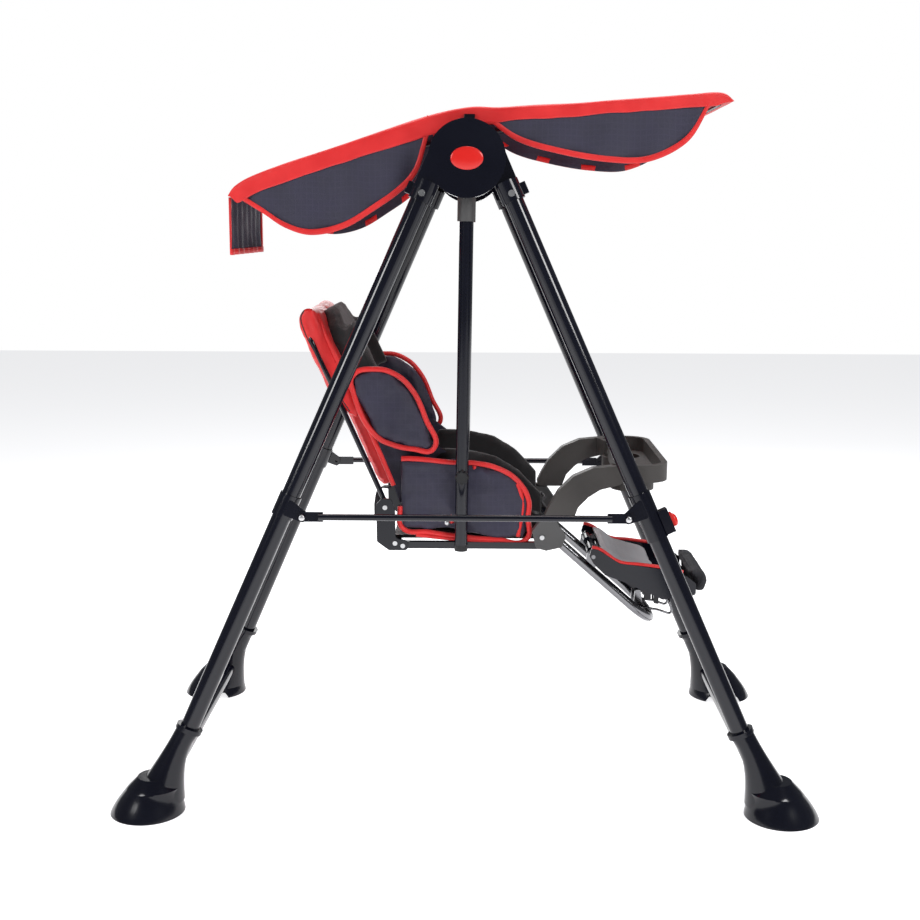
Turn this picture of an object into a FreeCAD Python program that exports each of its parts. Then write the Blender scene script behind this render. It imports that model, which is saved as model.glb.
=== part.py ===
import FreeCAD, Part
import math
import os
from FreeCAD import Placement, Rotation, Vector

# Outdoor baby swing: two folding A-frames, a hanging padded seat with tray and
# footrest, and a tilting canopy. Millimetres. +X is the way the child faces,
# +Y is the child's left, +Z is up. The origin is on the floor below the swing axis.

doc = FreeCAD.newDocument("BabySwing")
sheet = doc.addObject("Spreadsheet::Sheet", "Sizes")

sizes = {
    # A-frames
    "axis_height": 1200,
    "foot_spread": 582,
    "track_splay": 113,
    "head_clearance": 6,
    "socket_inset": 30,
    "leg_diameter": 35,
    "leg_wall": 1.5,
    "leg_end_height": 92,
    "foot_height": 160,
    "foot_base_diameter": 138,
    "foot_collar_wall": 5,
    "floor_tube_diameter": 28,
    "floor_tube_height": 62,
    # hubs
    "hub_radius": 70,
    "hub_half_thickness": 20.5,
    "parting_gap": 0.6,
    "socket_start": 66,
    "socket_length": 38,
    "socket_wall": 4.5,
    "axle_diameter": 16,
    "running_gap": 0.05,
    "cross_tube_diameter": 25,
    "badge_length": 59,
    "badge_width": 41,
    "badge_thickness": 4,
    # braces with their sliding sleeves
    "brace_height": 555,
    "brace_diameter": 12,
    "brace_tab": 3,
    "brace_eye_radius": 9,
    "brace_pin_diameter": 6,
    "pin_reach": 36.5,
    "ear_thickness": 5,
    "sleeve_length": 91,
    "sleeve_wall": 3,
    "bracket_length": 44,
    "button_travel": 4,
    # hangers
    "hanger_diameter": 25,
    "hanger_clearance": 3.5,
    "hanger_lean": 0.7,
    "head_drop": 111,
    "head_wall": 4.5,
    "hanger_drop": 722,
    "knob_drop": 588,
    "knob_diameter": 27,
    # seat
    "rail_drop": 727,
    "rail_section": 13,
    "rail_rear": -150,
    "rail_front": 170,
    "footrest_reach": 205,
    "footrest_fall": 180.5,
    "footrest_half": 80,
    "seat_inner_half": 135,
    "seat_panel_thickness": 27,
    "cushion_thickness": 38,
    "soft_gap": 0.5,
    # backrest
    "recline_x": -155,
    "recline_rise": 75,
    "back_angle": 23.8,
    "back_length": 400,
    "back_rod_diameter": 10,
    "shell_thickness": 25,
    "liner_thickness": 27,
    # tray
    "tray_rear": 268,
    "tray_front": 388,
    "tray_floor_rise": 128,
    "tray_rim": 34,
    "tray_wall": 5,
    "tray_arm_thickness": 24,
    "cup_diameter": 74,
    "cup_depth": 26,
    # footrest
    "foot_tube_diameter": 19,
    "plate_half_width": 112,
    "plate_pin_diameter": 8,
    "bail_diameter": 5,
    # canopy
    "canopy_edge_gap": 5.1,
    "canopy_rise": 82,
    "canopy_rear": 425,
    "canopy_front": 462,
    "canopy_rear_drop": 133,
    "canopy_front_rise": 27,
    "cover_thickness": 3,
    "valance_thickness": 2,
    "bow_diameter": 8,
}
for row, (alias, number) in enumerate(sizes.items(), start=1):
    sheet.set("A%d" % row, alias)
    sheet.set("B%d" % row, str(number))
    sheet.setAlias("B%d" % row, alias)
doc.recompute()

X_AXIS = Vector(1, 0, 0)
Y_AXIS = Vector(0, 1, 0)
Z_AXIS = Vector(0, 0, 1)
nodes = []


def size(alias):
    """The number in the sheet under this alias."""
    return float(sheet.get(alias))


def at(x, y, z, axis=Z_AXIS, angle=0):
    """A placement at a point, turned about an axis in degrees."""
    return Placement(Vector(x, y, z), Rotation(axis, angle))


def along_y(x, y, z):
    """A placement whose own Z points along +Y."""
    return at(x, y, z, X_AXIS, -90)


def node(thing, label):
    """Names a finished sub-part and lists it for export."""
    thing.Label = label
    nodes.append(thing)
    return thing


def cylinder(name, radius, length, place):
    """A cylinder along its own Z, sized by sheet expressions."""
    thing = doc.addObject("Part::Cylinder", name)
    thing.setExpression("Radius", radius)
    thing.setExpression("Height", length)
    thing.Placement = place
    return thing


def block(name, length, width, height, place):
    """A box from its own corner, sized by sheet expressions."""
    thing = doc.addObject("Part::Box", name)
    thing.setExpression("Length", length)
    thing.setExpression("Width", width)
    thing.setExpression("Height", height)
    thing.Placement = place
    return thing


def joined(name, *pieces):
    """Several pieces fused into one."""
    thing = doc.addObject("Part::MultiFuse", name)
    thing.Shapes = list(pieces)
    thing.Refine = True
    return thing


def grouped(name, *pieces):
    """Several separate solids kept in one sub-part."""
    thing = doc.addObject("Part::Compound", name)
    thing.Links = list(pieces)
    return thing


def carved(name, base, tool):
    """A base with a tool cut out of it."""
    thing = doc.addObject("Part::Cut", name)
    thing.Base = base
    thing.Tool = tool
    return thing


def mirrored(label, source, normal):
    """The twin of a sub-part on the other side of a plane through the origin."""
    thing = doc.addObject("Part::Mirroring", label)
    thing.Source = source
    thing.Normal = normal
    return thing


def pair(label, source):
    """A sub-part and its twin across the middle of the swing, as separate solids of one node."""
    twin = mirrored(label + "_twin", source, Y_AXIS)
    return node(grouped(label + "_pair", source, twin), label)


def left_and_right(label, source):
    """A sub-part on the left and its twin on the right, each a node of its own."""
    node(source, label + "_left")
    return node(mirrored(label + "_right_twin", source, Y_AXIS), label + "_right")


def feature(name, shape, place=Placement()):
    """A sub-part whose shape is worked out here from the sheet."""
    thing = doc.addObject("Part::Feature", name)
    thing.Shape = shape
    thing.Placement = place * thing.Placement
    return thing


def rounded(points, radius, closed=True):
    """Straight runs through 2-D or 3-D points, with a tangent arc of the radius at each corner."""
    corners = [Vector(*point) for point in points]
    count = len(corners)
    edges = []
    cuts = []
    for index, corner in enumerate(corners):
        if not closed and index in (0, count - 1):
            cuts.append((corner, corner))
            continue
        before = (corners[index - 1] - corner).normalize()
        after = (corners[(index + 1) % count] - corner).normalize()
        half = before.getAngle(after) / 2
        room = min((corners[index - 1] - corner).Length, (corners[(index + 1) % count] - corner).Length)
        reach = min(radius / math.tan(half), 0.45 * room)
        bow = reach * math.tan(half)
        middle = corner + (before + after).normalize() * (bow / math.sin(half) - bow)
        start = corner + before * reach
        end = corner + after * reach
        cuts.append((start, end))
        edges.append((index, Part.Arc(start, middle, end)))
    runs = dict(edges)
    result = []
    for index in range(count):
        if index in runs:
            result.append(runs[index])
        if closed or index < count - 1:
            start = cuts[index][1]
            end = cuts[(index + 1) % count][0]
            result.append(Part.LineSegment(start, end))
    return result


def plate(name, outline, radius, thickness, place):
    """A flat piece: a rounded outline in the XZ plane, padded evenly to both sides of it."""
    body = doc.addObject("PartDesign::Body", name)
    sketch = body.newObject("Sketcher::SketchObject", name + "_outline")
    plane = [f for f in body.Origin.OriginFeatures if f.Role == "XZ_Plane"][0]
    sketch.AttachmentSupport = (plane, [""])
    sketch.MapMode = "FlatFace"
    for edge in rounded(outline, radius):
        sketch.addGeometry(edge, False)
    pad = body.newObject("PartDesign::Pad", name + "_pad")
    pad.Profile = sketch
    pad.setExpression("Length", thickness)
    pad.Midplane = True
    body.Placement = place
    return body


def bored(name, tube, wall):
    """A straight tube: a round bar with its bore cut right through."""
    bore = doc.addObject("Part::Cylinder", name + "_bore")
    bore.setExpression("Radius", "%s.Radius - %s * 1mm" % (tube.Name, wall))
    bore.setExpression("Height", tube.Name + ".Height")
    bore.Placement = tube.Placement
    return carved(name + "_tube", tube, bore)


def bent_rod(name, points, bend, diameter, place=Placement(), wall=0):
    """A round rod or tube bent along straight runs and tangent arcs."""
    path = Part.Wire([edge.toShape() for edge in rounded(points, bend, closed=False)])
    start = path.OrderedVertexes[0].Point
    way = path.OrderedEdges[0].tangentAt(path.OrderedEdges[0].FirstParameter)
    if (path.OrderedVertexes[1].Point - start).dot(way) < 0:
        way = way * -1
    ring = Part.Wire([Part.makeCircle(diameter / 2, start, way)])
    shape = path.makePipeShell([ring], True, True)
    if wall:
        inner = Part.Wire([Part.makeCircle(diameter / 2 - wall, start, way)])
        shape = shape.cut(path.makePipeShell([inner], True, True))
    return feature(name, shape, place)


# Places that many pieces share

axis_height = size("axis_height")
hanger_radius = size("hanger_diameter") / 2
seat_outer = size("seat_inner_half") + size("seat_panel_thickness")
hanger_track = seat_outer + size("hanger_clearance") + hanger_radius
hub_track = hanger_track + hanger_radius + size("head_clearance") + size("hub_half_thickness")
foot_track = hub_track + size("track_splay")
leg_radius = size("leg_diameter") / 2
leg_offset = leg_radius + size("socket_wall") + size("socket_inset")
splay = math.atan(size("track_splay") / axis_height)
slant = axis_height / math.cos(splay)
rake = math.atan((size("foot_spread") - leg_offset) / slant)
leg_reach = leg_offset * math.cos(rake)
hub_frame = at(0, hub_track, axis_height)
rake_turn = Placement(Vector(), Rotation(Y_AXIS, -math.degrees(rake)))
splay_turn = Placement(Vector(), Rotation(X_AXIS, math.degrees(splay)))
arm_frame = hub_frame * rake_turn
leg_frame = hub_frame * splay_turn * rake_turn


def down_leg(height):
    """How far down the leg, from the hub's centre, its axis passes a height above the floor."""
    return ((axis_height - height) / math.cos(splay) + leg_reach * math.sin(rake)) / math.cos(rake)


def on_leg(distance):
    """The front left leg's frame, with its own Z down the leg axis, at a distance from the hub's centre."""
    return leg_frame * at(leg_reach, 0, -distance, X_AXIS, 180)


# Legs: powder-coated steel tubes, plugged into a hub socket above and a foot below

leg_top = size("socket_start") + 4
leg_bottom = down_leg(size("leg_end_height"))
leg_outer = cylinder("leg_outer", "Sizes.leg_diameter / 2", "%f" % (leg_bottom - leg_top), at(0, 0, 0))
leg_bore = cylinder(
    "leg_bore", "Sizes.leg_diameter / 2 - Sizes.leg_wall", "%f" % (leg_bottom - leg_top), at(0, 0, 0)
)
front_leg = carved("front_leg", leg_outer, leg_bore)
front_leg.Placement = on_leg(leg_top)
left_and_right("front_leg", front_leg)
rear_leg = mirrored("rear_leg", front_leg, X_AXIS)
left_and_right("rear_leg", rear_leg)

# Floor tubes: one cross tube joins the two front feet, another the two rear feet

foot_level = on_leg(down_leg(size("floor_tube_height"))).Base
floor_tube_gap = 25
floor_half = foot_level.y - floor_tube_gap
front_floor_tube = cylinder(
    "front_floor_tube_round",
    "Sizes.floor_tube_diameter / 2",
    "%f" % (2 * floor_half),
    along_y(foot_level.x, -floor_half, size("floor_tube_height")),
)
front_floor_hollow = bored("front_floor", front_floor_tube, "Sizes.leg_wall")
node(front_floor_hollow, "front_floor_tube")
node(mirrored("rear_floor_tube_twin", front_floor_hollow, X_AXIS), "rear_floor_tube")


def foot_shape():
    """A boot: a domed skirt on the floor, a leaning neck round the leg, and an arch on the inner side."""
    base_radius = size("foot_base_diameter") / 2
    collar = on_leg(down_leg(size("foot_height")))
    down = collar.Rotation.multVec(Z_AXIS)
    base_centre = Vector(size("foot_spread") + 10, foot_track, 0)
    skirt_rings = []
    for height, swell, shift in ((0, 1.0, 0), (0.1, 0.97, -1), (0.35, 0.86, -4), (0.72, 0.72, -14)):
        centre = base_centre + Vector(shift, 0, height * base_radius)
        skirt_rings.append(Part.Wire([Part.makeCircle(base_radius * swell, centre, Z_AXIS)]))
    skirt = Part.makeLoft(skirt_rings, True, False)
    crown_centre = base_centre + Vector(-14, 0, 0.72 * base_radius)
    crown = Part.makeCone(base_radius * 0.72, base_radius * 0.44, base_radius * 0.28, crown_centre, Z_AXIS)
    neck_radius = leg_radius + size("foot_collar_wall")
    lower = on_leg(down_leg(size("foot_height") * 0.4)).Base
    lip = Part.makeCylinder(neck_radius + 2.5, 9, collar.Base, down)
    neck_rings = [
        Part.Wire([Part.makeCircle(neck_radius, collar.Base + down * 6, down)]),
        Part.Wire([Part.makeCircle(neck_radius * 1.3, lower + Vector(-4, 0, 26), Z_AXIS)]),
        Part.Wire([Part.makeCircle(neck_radius * 1.75, lower + Vector(10, 0, -10), Z_AXIS)]),
        Part.Wire([Part.makeCircle(neck_radius * 2.2, lower + Vector(20, 0, -44), Z_AXIS)]),
    ]
    neck = Part.makeLoft(neck_rings, True, False)
    boot = skirt.fuse([crown, neck, lip]).removeSplitter()
    arch = Part.makeCylinder(
        0.62 * base_radius,
        base_radius,
        Vector(base_centre.x, base_centre.y - 0.35 * base_radius, -0.25 * base_radius),
        Y_AXIS * -1,
    )
    bore_top = down_leg(size("foot_height")) - 10
    bore = Part.makeCylinder(leg_radius, down_leg(size("leg_end_height")) - bore_top)
    bore.Placement = on_leg(bore_top)
    tube_hole = Part.makeCylinder(
        size("floor_tube_diameter") / 2,
        base_radius * 2,
        Vector(foot_level.x, floor_half, foot_level.z),
        Y_AXIS * -1,
    )
    return boot.cut([arch, bore, tube_hole])


front_foot = feature("front_foot", foot_shape())
left_and_right("front_foot", front_foot)
rear_foot = mirrored("rear_foot", front_foot, X_AXIS)
left_and_right("rear_foot", rear_foot)

# Hubs: each is two moulded halves that turn against each other. The inner half
# carries the front leg, the outer half the rear leg.

half_gap = size("parting_gap") / 2
socket_radius = leg_radius + size("socket_wall")
arm_near = leg_reach - socket_radius + 2.5
arm_width = size("hub_radius") - 1.5 - arm_near


def hub_half(name, inner):
    """One hub half on the front left leg: a disc, an arm to the socket, and the socket round the leg."""
    near = -size("hub_half_thickness") if inner else half_gap
    disc = cylinder(
        name + "_disc",
        "Sizes.hub_radius",
        "Sizes.hub_half_thickness - Sizes.parting_gap / 2",
        hub_frame * along_y(0, near, 0),
    )
    arm = block(
        name + "_arm",
        "%f" % arm_width,
        "Sizes.hub_half_thickness - Sizes.parting_gap / 2",
        "Sizes.socket_start + Sizes.socket_length / 2",
        arm_frame * at(arm_near, near, -size("socket_start") - size("socket_length") / 2),
    )
    socket = cylinder(
        name + "_socket",
        "Sizes.leg_diameter / 2 + Sizes.socket_wall",
        "Sizes.socket_length",
        on_leg(size("socket_start")),
    )
    ear = block(
        name + "_ear", "14", "10", "22",
        leg_frame * at(leg_reach + leg_radius, -5, -size("socket_start") - 34),
    )
    leg_hole = cylinder(
        name + "_leg_hole", "Sizes.leg_diameter / 2", "Sizes.socket_length + 10", on_leg(leg_top)
    )
    axle_fit = "Sizes.axle_diameter / 2" if inner else "Sizes.axle_diameter / 2 + Sizes.running_gap"
    axle_hole = cylinder(
        name + "_axle_hole", axle_fit, "Sizes.hub_half_thickness * 2", hub_frame * along_y(0, near, 0)
    )
    if not inner:
        axle_hole.setExpression("Height", "Sizes.hub_half_thickness - 3")
    solid = joined(name + "_solid", disc, arm, socket, ear)
    holes = joined(name + "_holes", leg_hole, axle_hole)
    return carved(name, solid, holes)


hub_plate = hub_half("hub_plate", True)
left_and_right("hub_plate", hub_plate)
hub_cover = mirrored("hub_cover", hub_half("hub_cover_front", False), X_AXIS)
left_and_right("hub_cover", hub_cover)

axle = cylinder(
    "axle",
    "Sizes.axle_diameter / 2",
    "Sizes.hub_half_thickness * 2 - 5",
    hub_frame * along_y(0, -size("hub_half_thickness"), 0),
)
pair("hub_axles", axle)

badge_round = doc.addObject("Part::Ellipsoid", "badge_round")
badge_round.setExpression("Radius1", "Sizes.badge_thickness")
badge_round.setExpression("Radius2", "Sizes.badge_length / 2")
badge_round.setExpression("Radius3", "Sizes.badge_width / 2")
badge_round.Angle1 = 0
badge_round.Placement = hub_frame * along_y(0, size("hub_half_thickness"), 0)
pair("hub_badges", badge_round)

cross_half = hub_track - size("hub_half_thickness")
top_tube = cylinder(
    "top_tube", "Sizes.cross_tube_diameter / 2", "%f" % (2 * cross_half), along_y(0, -cross_half, axis_height)
)
node(bored("top_cross", top_tube, "Sizes.leg_wall"), "top_cross_tube")

# Braces: a rod on the outside of each A-frame. Its front end is pinned to a sleeve
# that slides down the front leg as the frame folds; its rear end meets an ear on the rear leg.

pin_place = on_leg(down_leg(size("brace_height") + size("pin_reach") * math.sin(rake)))
pin_distance = down_leg(size("brace_height") + size("pin_reach") * math.sin(rake) * math.cos(splay))
sleeve_radius = leg_radius + size("sleeve_wall")
ear_outer = sleeve_radius
ear_middle = ear_outer - size("ear_thickness") / 2
pin_frame = leg_frame * at(leg_reach - size("pin_reach"), 0, -pin_distance)
brace_plane = hub_frame * splay_turn


def ear_plate(name, rise, fall):
    """A flat ear from the band round the leg to the brace's pin, with the pin's hole."""
    reach = size("pin_reach")
    eye = size("brace_eye_radius") + 1
    outline = [
        (reach - 2, -fall),
        (reach - 2, rise),
        (-0.4 * eye, eye),
        (-eye, -0.2 * eye),
        (-0.5 * eye, -eye),
    ]
    flat = plate(name + "_flat", outline, 4, "Sizes.ear_thickness", pin_frame * at(0, ear_middle, 0))
    hole = cylinder(
        name + "_hole",
        "Sizes.brace_pin_diameter / 2 + Sizes.running_gap",
        "30",
        pin_frame * along_y(0, ear_middle - 15, 0),
    )
    return carved(name, flat, hole)


sleeve_top = pin_distance - 0.35 * size("sleeve_length")
sleeve_round = cylinder(
    "sleeve_round", "Sizes.leg_diameter / 2 + Sizes.sleeve_wall", "Sizes.sleeve_length", on_leg(sleeve_top)
)
housing_height = 46
housing = block(
    "lever_housing", "18", "26", "%f" % housing_height,
    leg_frame * at(leg_reach + leg_radius, -13, -sleeve_top - size("sleeve_length") + 2),
)
sleeve_ear = ear_plate("sleeve_ear", 24, 14)
sleeve_solid = joined("sleeve_solid", sleeve_round, housing, sleeve_ear)
sleeve_bore = cylinder(
    "sleeve_bore",
    "Sizes.leg_diameter / 2 + Sizes.running_gap * 2",
    "Sizes.sleeve_length + 20",
    on_leg(sleeve_top - 10),
)
button_length = 16
button_height = 26
button_place = leg_frame * at(
    leg_reach + sleeve_radius + size("button_travel"), -9, -sleeve_top - size("sleeve_length") + 11
)
slot_place = button_place * at(-size("button_travel") - 0.3, -0.3, -0.3)
button_slot = block("button_slot", "30", "18.6", "%f + 0.6" % button_height, slot_place)
sleeve_holes = joined("sleeve_holes", sleeve_bore, button_slot)
brace_sleeve = carved("brace_sleeve", sleeve_solid, sleeve_holes)
left_and_right("brace_sleeve", brace_sleeve)
lock_button = block("lock_button", "%f" % button_length, "18", "%f" % button_height, button_place)
left_and_right("lock_button", lock_button)

band = cylinder(
    "band", "Sizes.leg_diameter / 2 + Sizes.sleeve_wall", "Sizes.bracket_length", on_leg(pin_distance - 26)
)
band_ear = ear_plate("band_ear", 20, 12)
band_solid = joined("band_solid", band, band_ear)
band_bore = cylinder(
    "band_bore", "Sizes.leg_diameter / 2", "Sizes.bracket_length + 20", on_leg(pin_distance - 36)
)
front_bracket = carved("front_bracket", band_solid, band_bore)
brace_bracket = mirrored("brace_bracket", front_bracket, X_AXIS)
pair("brace_brackets", brace_bracket)

# The brace rod lies in the leaning plane of its A-frame, just outside the ears
pin_x = leg_reach * math.cos(rake) + pin_distance * math.sin(rake) - size("pin_reach") * math.cos(rake)
pin_z = leg_reach * math.sin(rake) - pin_distance * math.cos(rake) - size("pin_reach") * math.sin(rake)
tab_near = ear_outer + 0.3
tab_middle = tab_near + size("brace_tab") / 2
rod_half = pin_x - 30
brace_rod = cylinder(
    "brace_rod",
    "Sizes.brace_diameter / 2",
    "%f" % (2 * rod_half),
    brace_plane * at(-rod_half, tab_near + size("brace_diameter") / 2, pin_z, Y_AXIS, 90),
)
brace_strip = block(
    "brace_strip",
    "%f" % (2 * pin_x),
    "Sizes.brace_tab",
    "Sizes.brace_eye_radius * 2",
    brace_plane * at(-pin_x, tab_near, pin_z - size("brace_eye_radius")),
)
strip_gap = block(
    "strip_gap",
    "%f" % (2 * rod_half - 16),
    "60",
    "60",
    brace_plane * at(-rod_half + 8, tab_near - 30, pin_z - 30),
)
brace_tabs = carved("brace_tabs", brace_strip, strip_gap)
eyes = [
    cylinder(
        "brace_eye_%d" % index,
        "Sizes.brace_eye_radius",
        "Sizes.brace_tab",
        brace_plane * along_y(end * pin_x, tab_near, pin_z),
    )
    for index, end in enumerate((-1, 1))
]
heads = [
    cylinder(
        "brace_head_%d" % index,
        "Sizes.brace_pin_diameter / 2 + 2.5",
        "3",
        brace_plane * along_y(end * pin_x, tab_near + size("brace_tab"), pin_z),
    )
    for index, end in enumerate((-1, 1))
]
front_pin = cylinder(
    "front_pin",
    "Sizes.brace_pin_diameter / 2",
    "Sizes.ear_thickness + 3",
    brace_plane * along_y(pin_x, tab_near - size("ear_thickness") - 2, pin_z),
)
brace_bar = joined("brace_bar", brace_rod, brace_tabs, front_pin, *(eyes + heads))
left_and_right("brace_bar", brace_bar)


def screws(label, places, head_radius, head_height):
    """Screw heads that stand on the surfaces they hold, as separate solids of one node."""
    heads = []
    for index, place in enumerate(places):
        heads.append(
            cylinder("%s_%d" % (label, index), "%f" % head_radius, "%f" % head_height, place)
        )
    return node(grouped(label + "_group", *heads), label)


def both_sides(place_pairs):
    """Places on the left and their twins on the right, for round heads along Y."""
    result = []
    for x, y, z, tilt in place_pairs:
        result.append(at(x, y, z) * Placement(Vector(), Rotation(X_AXIS, -90 + tilt)))
        result.append(at(x, -y, z) * Placement(Vector(), Rotation(X_AXIS, 90 - tilt)))
    return result


clamp_point = (leg_frame * at(leg_reach, socket_radius, -size("socket_start") - 25)).Base
lean = math.degrees(splay)
screws("front_hub_screws", both_sides([(clamp_point.x, clamp_point.y, clamp_point.z, lean)]), 6, 3.5)
screws("rear_hub_screws", both_sides([(-clamp_point.x, clamp_point.y, clamp_point.z, lean)]), 6, 3.5)

# Hangers: the seat hangs on two tubes from heads that turn on the top cross tube

hanger_side = at(0, hanger_track, axis_height, Y_AXIS, size("hanger_lean"))
head_width = size("hanger_diameter")
head_ring = cylinder(
    "head_ring",
    "Sizes.cross_tube_diameter / 2 + Sizes.head_wall * 2",
    "Sizes.hanger_diameter",
    hanger_side * along_y(0, -head_width / 2, 0),
)
head_socket = cylinder(
    "head_socket", "Sizes.hanger_diameter / 2 + Sizes.head_wall - 0.5", "Sizes.head_drop - 26",
    hanger_side * at(0, 0, -size("head_drop")),
)
head_neck = cylinder(
    "head_neck", "Sizes.hanger_diameter / 2 - 0.2", "24", hanger_side * at(0, 0, -38)
)
head_bore = cylinder(
    "head_bore",
    "Sizes.cross_tube_diameter / 2 + Sizes.running_gap",
    "Sizes.hanger_diameter + 20",
    hanger_side * along_y(0, -head_width / 2 - 10, 0),
)
hanger_top = 34
head_hole = cylinder(
    "head_hole",
    "Sizes.hanger_diameter / 2",
    "Sizes.head_drop",
    hanger_side * at(0, 0, -size("head_drop") - hanger_top),
)
head_solid = joined("head_solid", head_ring, head_neck, head_socket)
hanger_head = carved("hanger_head", head_solid, joined("head_holes", head_bore, head_hole))
pair("hanger_heads", hanger_head)

hanger_outer = cylinder(
    "hanger_outer",
    "Sizes.hanger_diameter / 2",
    "Sizes.hanger_drop - %f" % hanger_top,
    hanger_side * at(0, 0, -size("hanger_drop")),
)
left_and_right("hanger", bored("hanger_hollow", hanger_outer, "Sizes.leg_wall"))
cap_round = cylinder(
    "cap_round", "Sizes.hanger_diameter / 2", "12", hanger_side * at(0, 0, -size("hanger_drop") - 12)
)
pair("hanger_caps", cap_round)

# Seat frame: square rails with cross rails, a board, rear brackets and front housings

rail_level = axis_height - size("rail_drop")
rail = size("rail_section")
rail_outer = hanger_track - size("hanger_diameter") / 2
rail_inner = rail_outer - rail
side_rail = block(
    "side_rail",
    "Sizes.rail_front - Sizes.rail_rear",
    "Sizes.rail_section",
    "Sizes.rail_section",
    at(size("rail_rear"), rail_inner, rail_level - rail / 2),
)
side_rail_twin = mirrored("side_rail_twin", side_rail, Y_AXIS)
cross_rails = [
    block(
        "cross_rail_%d" % index,
        "Sizes.rail_section",
        "%f" % (2 * rail_inner),
        "Sizes.rail_section",
        at(x, -rail_inner, rail_level - rail / 2),
    )
    for index, x in enumerate((size("rail_rear") + 12, size("rail_front") - 19))
]
tube_start = Vector(size("rail_front") + 1, size("footrest_half"), rail_level + 0.5)
tube_end = tube_start + Vector(size("footrest_reach"), 0, -size("footrest_fall"))
tube_way = (tube_end - tube_start).normalize()
tube_frame = Placement(tube_start, Rotation(Z_AXIS, tube_way))
clamp_block = block(
    "clamp_block", "26", "30", "31", at(size("rail_front") - 8, size("footrest_half") - 15, rail_level - 18)
)
clamp_bore = cylinder("clamp_bore", "Sizes.foot_tube_diameter / 2", "60", tube_frame)
tube_clamp = carved("tube_clamp", clamp_block, clamp_bore)
tube_clamp_twin = mirrored("tube_clamp_twin", tube_clamp, Y_AXIS)
front_rail = joined("front_rail", cross_rails[1], tube_clamp, tube_clamp_twin)
node(grouped("rails", side_rail, side_rail_twin, cross_rails[0], front_rail), "seat_rails")

board_half = size("seat_inner_half") - 2
board_thickness = 6
board_rear = size("rail_rear") + 10
board_front = size("rail_front") - 12
board_level = rail_level + rail / 2
seat_board = block(
    "seat_board_flat", "%f" % (board_front - board_rear), "%f" % (2 * board_half), "%f" % board_thickness,
    at(board_rear, -board_half, board_level),
)
node(seat_board, "seat_board")

recline_level = rail_level + size("recline_rise")
recline_x = size("recline_x")
bracket_thickness = 6
bracket_near = rail_outer
bracket_outline = [
    (size("rail_rear") + 39, rail_level - 9),
    (size("rail_rear") + 2, rail_level - 9),
    (recline_x - 16, rail_level + 8),
    (recline_x - 17, recline_level + 6),
    (recline_x - 6, recline_level + 18),
    (recline_x + 12, recline_level + 16),
    (recline_x + 19, recline_level - 4),
    (recline_x + 20, rail_level + 14),
    (size("rail_rear") + 39, rail_level + 9),
]
bracket_flat = plate(
    "bracket_flat", bracket_outline, 7, "%f" % bracket_thickness,
    at(0, bracket_near + bracket_thickness / 2, 0),
)
recline_pin = cylinder(
    "recline_pin", "4", "%f" % (bracket_near - size("seat_inner_half") - 8 + 1),
    along_y(recline_x, size("seat_inner_half") + 8, recline_level),
)
rail_bracket = joined("rail_bracket", bracket_flat, recline_pin)
pair("rail_brackets", rail_bracket)

# Front housings: each holds a tray arm's tongue and an end of the footrest tube

housing_near = rail_outer + 1
housing_thickness = 23
housing_middle = housing_near + housing_thickness / 2
tongue_x = 158
tongue_length = 24
tongue_width = 22
tongue_thickness = 12
socket_top = rail_level + 54
housing_outline = [
    (127, rail_level + 33),
    (141, socket_top - 1),
    (172, socket_top - 1),
    (192, rail_level + 24),
    (184, rail_level + 3),
    (154, rail_level - 4),
    (134, rail_level + 2),
]
housing_flat = plate(
    "housing_flat", housing_outline, 7, "%f" % housing_thickness, at(0, housing_middle, 0)
)
tongue_hole = block(
    "tongue_hole",
    "%f" % (tongue_width + 0.6),
    "%f" % (tongue_thickness + 0.6),
    "%f" % (tongue_length + 20),
    at(
        tongue_x - tongue_width / 2 - 0.3,
        housing_middle - tongue_thickness / 2 - 0.3,
        socket_top - tongue_length - 1.5,
    ),
)
tray_housing = carved("tray_housing", housing_flat, tongue_hole)
pair("tray_housings", tray_housing)

# Footrest tube: one steel tube bent into a U under the legs, with lugs for the plate's pin and for the bail

tube_back = Vector(tube_end.x, -tube_end.y, tube_end.z)
tube_far = Vector(tube_start.x, -tube_start.y, tube_start.z)
footrest_bend = bent_rod(
    "footrest_bend", [tube_start, tube_end, tube_back, tube_far], 62, size("foot_tube_diameter"),
    wall=size("leg_wall"),
)
plate_pin_x = size("rail_front") + 82
plate_pin_z = rail_level - 35
plate_pin = cylinder(
    "plate_pin", "Sizes.plate_pin_diameter / 2", "Sizes.plate_half_width * 2",
    along_y(plate_pin_x, -size("plate_half_width"), plate_pin_z),
)
tube_under_pin = tube_start.z - (plate_pin_x - tube_start.x) * size("footrest_fall") / size("footrest_reach")
pin_lug_outline = [
    (plate_pin_x - 10, plate_pin_z + 1), (plate_pin_x, plate_pin_z + 10), (plate_pin_x + 10, plate_pin_z + 1),
    (plate_pin_x + 6, tube_under_pin - 4), (plate_pin_x - 14, tube_under_pin + 8),
]
bail_x = tube_end.x - 23
bail_z = tube_end.z + 23
bail_lug_outline = [
    (tube_end.x + 4, tube_end.z - 5), (tube_end.x + 8, tube_end.z + 5), (bail_x + 9, bail_z + 3),
    (bail_x + 4, bail_z + 33), (bail_x - 7, bail_z + 32), (bail_x - 10, bail_z - 4),
    (tube_end.x - 12, tube_end.z - 7),
]
lugs = []
for side in (-1, 1):
    lug_place = at(0, side * size("footrest_half"), 0)
    lugs.append(plate("pin_lug_%d" % (side + 1), pin_lug_outline, 4, "6", lug_place))
    lugs.append(plate("bail_lug_%d" % (side + 1), bail_lug_outline, 4, "5", at(0, side * 25, 0)))
tube_solid = joined("tube_solid", footrest_bend, plate_pin, *lugs)
bail_hole = cylinder(
    "bail_hole", "Sizes.bail_diameter / 2 + Sizes.running_gap", "100", along_y(bail_x, -50, bail_z)
)
node(carved("footrest_tube_body", tube_solid, bail_hole), "footrest_tube")

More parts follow.
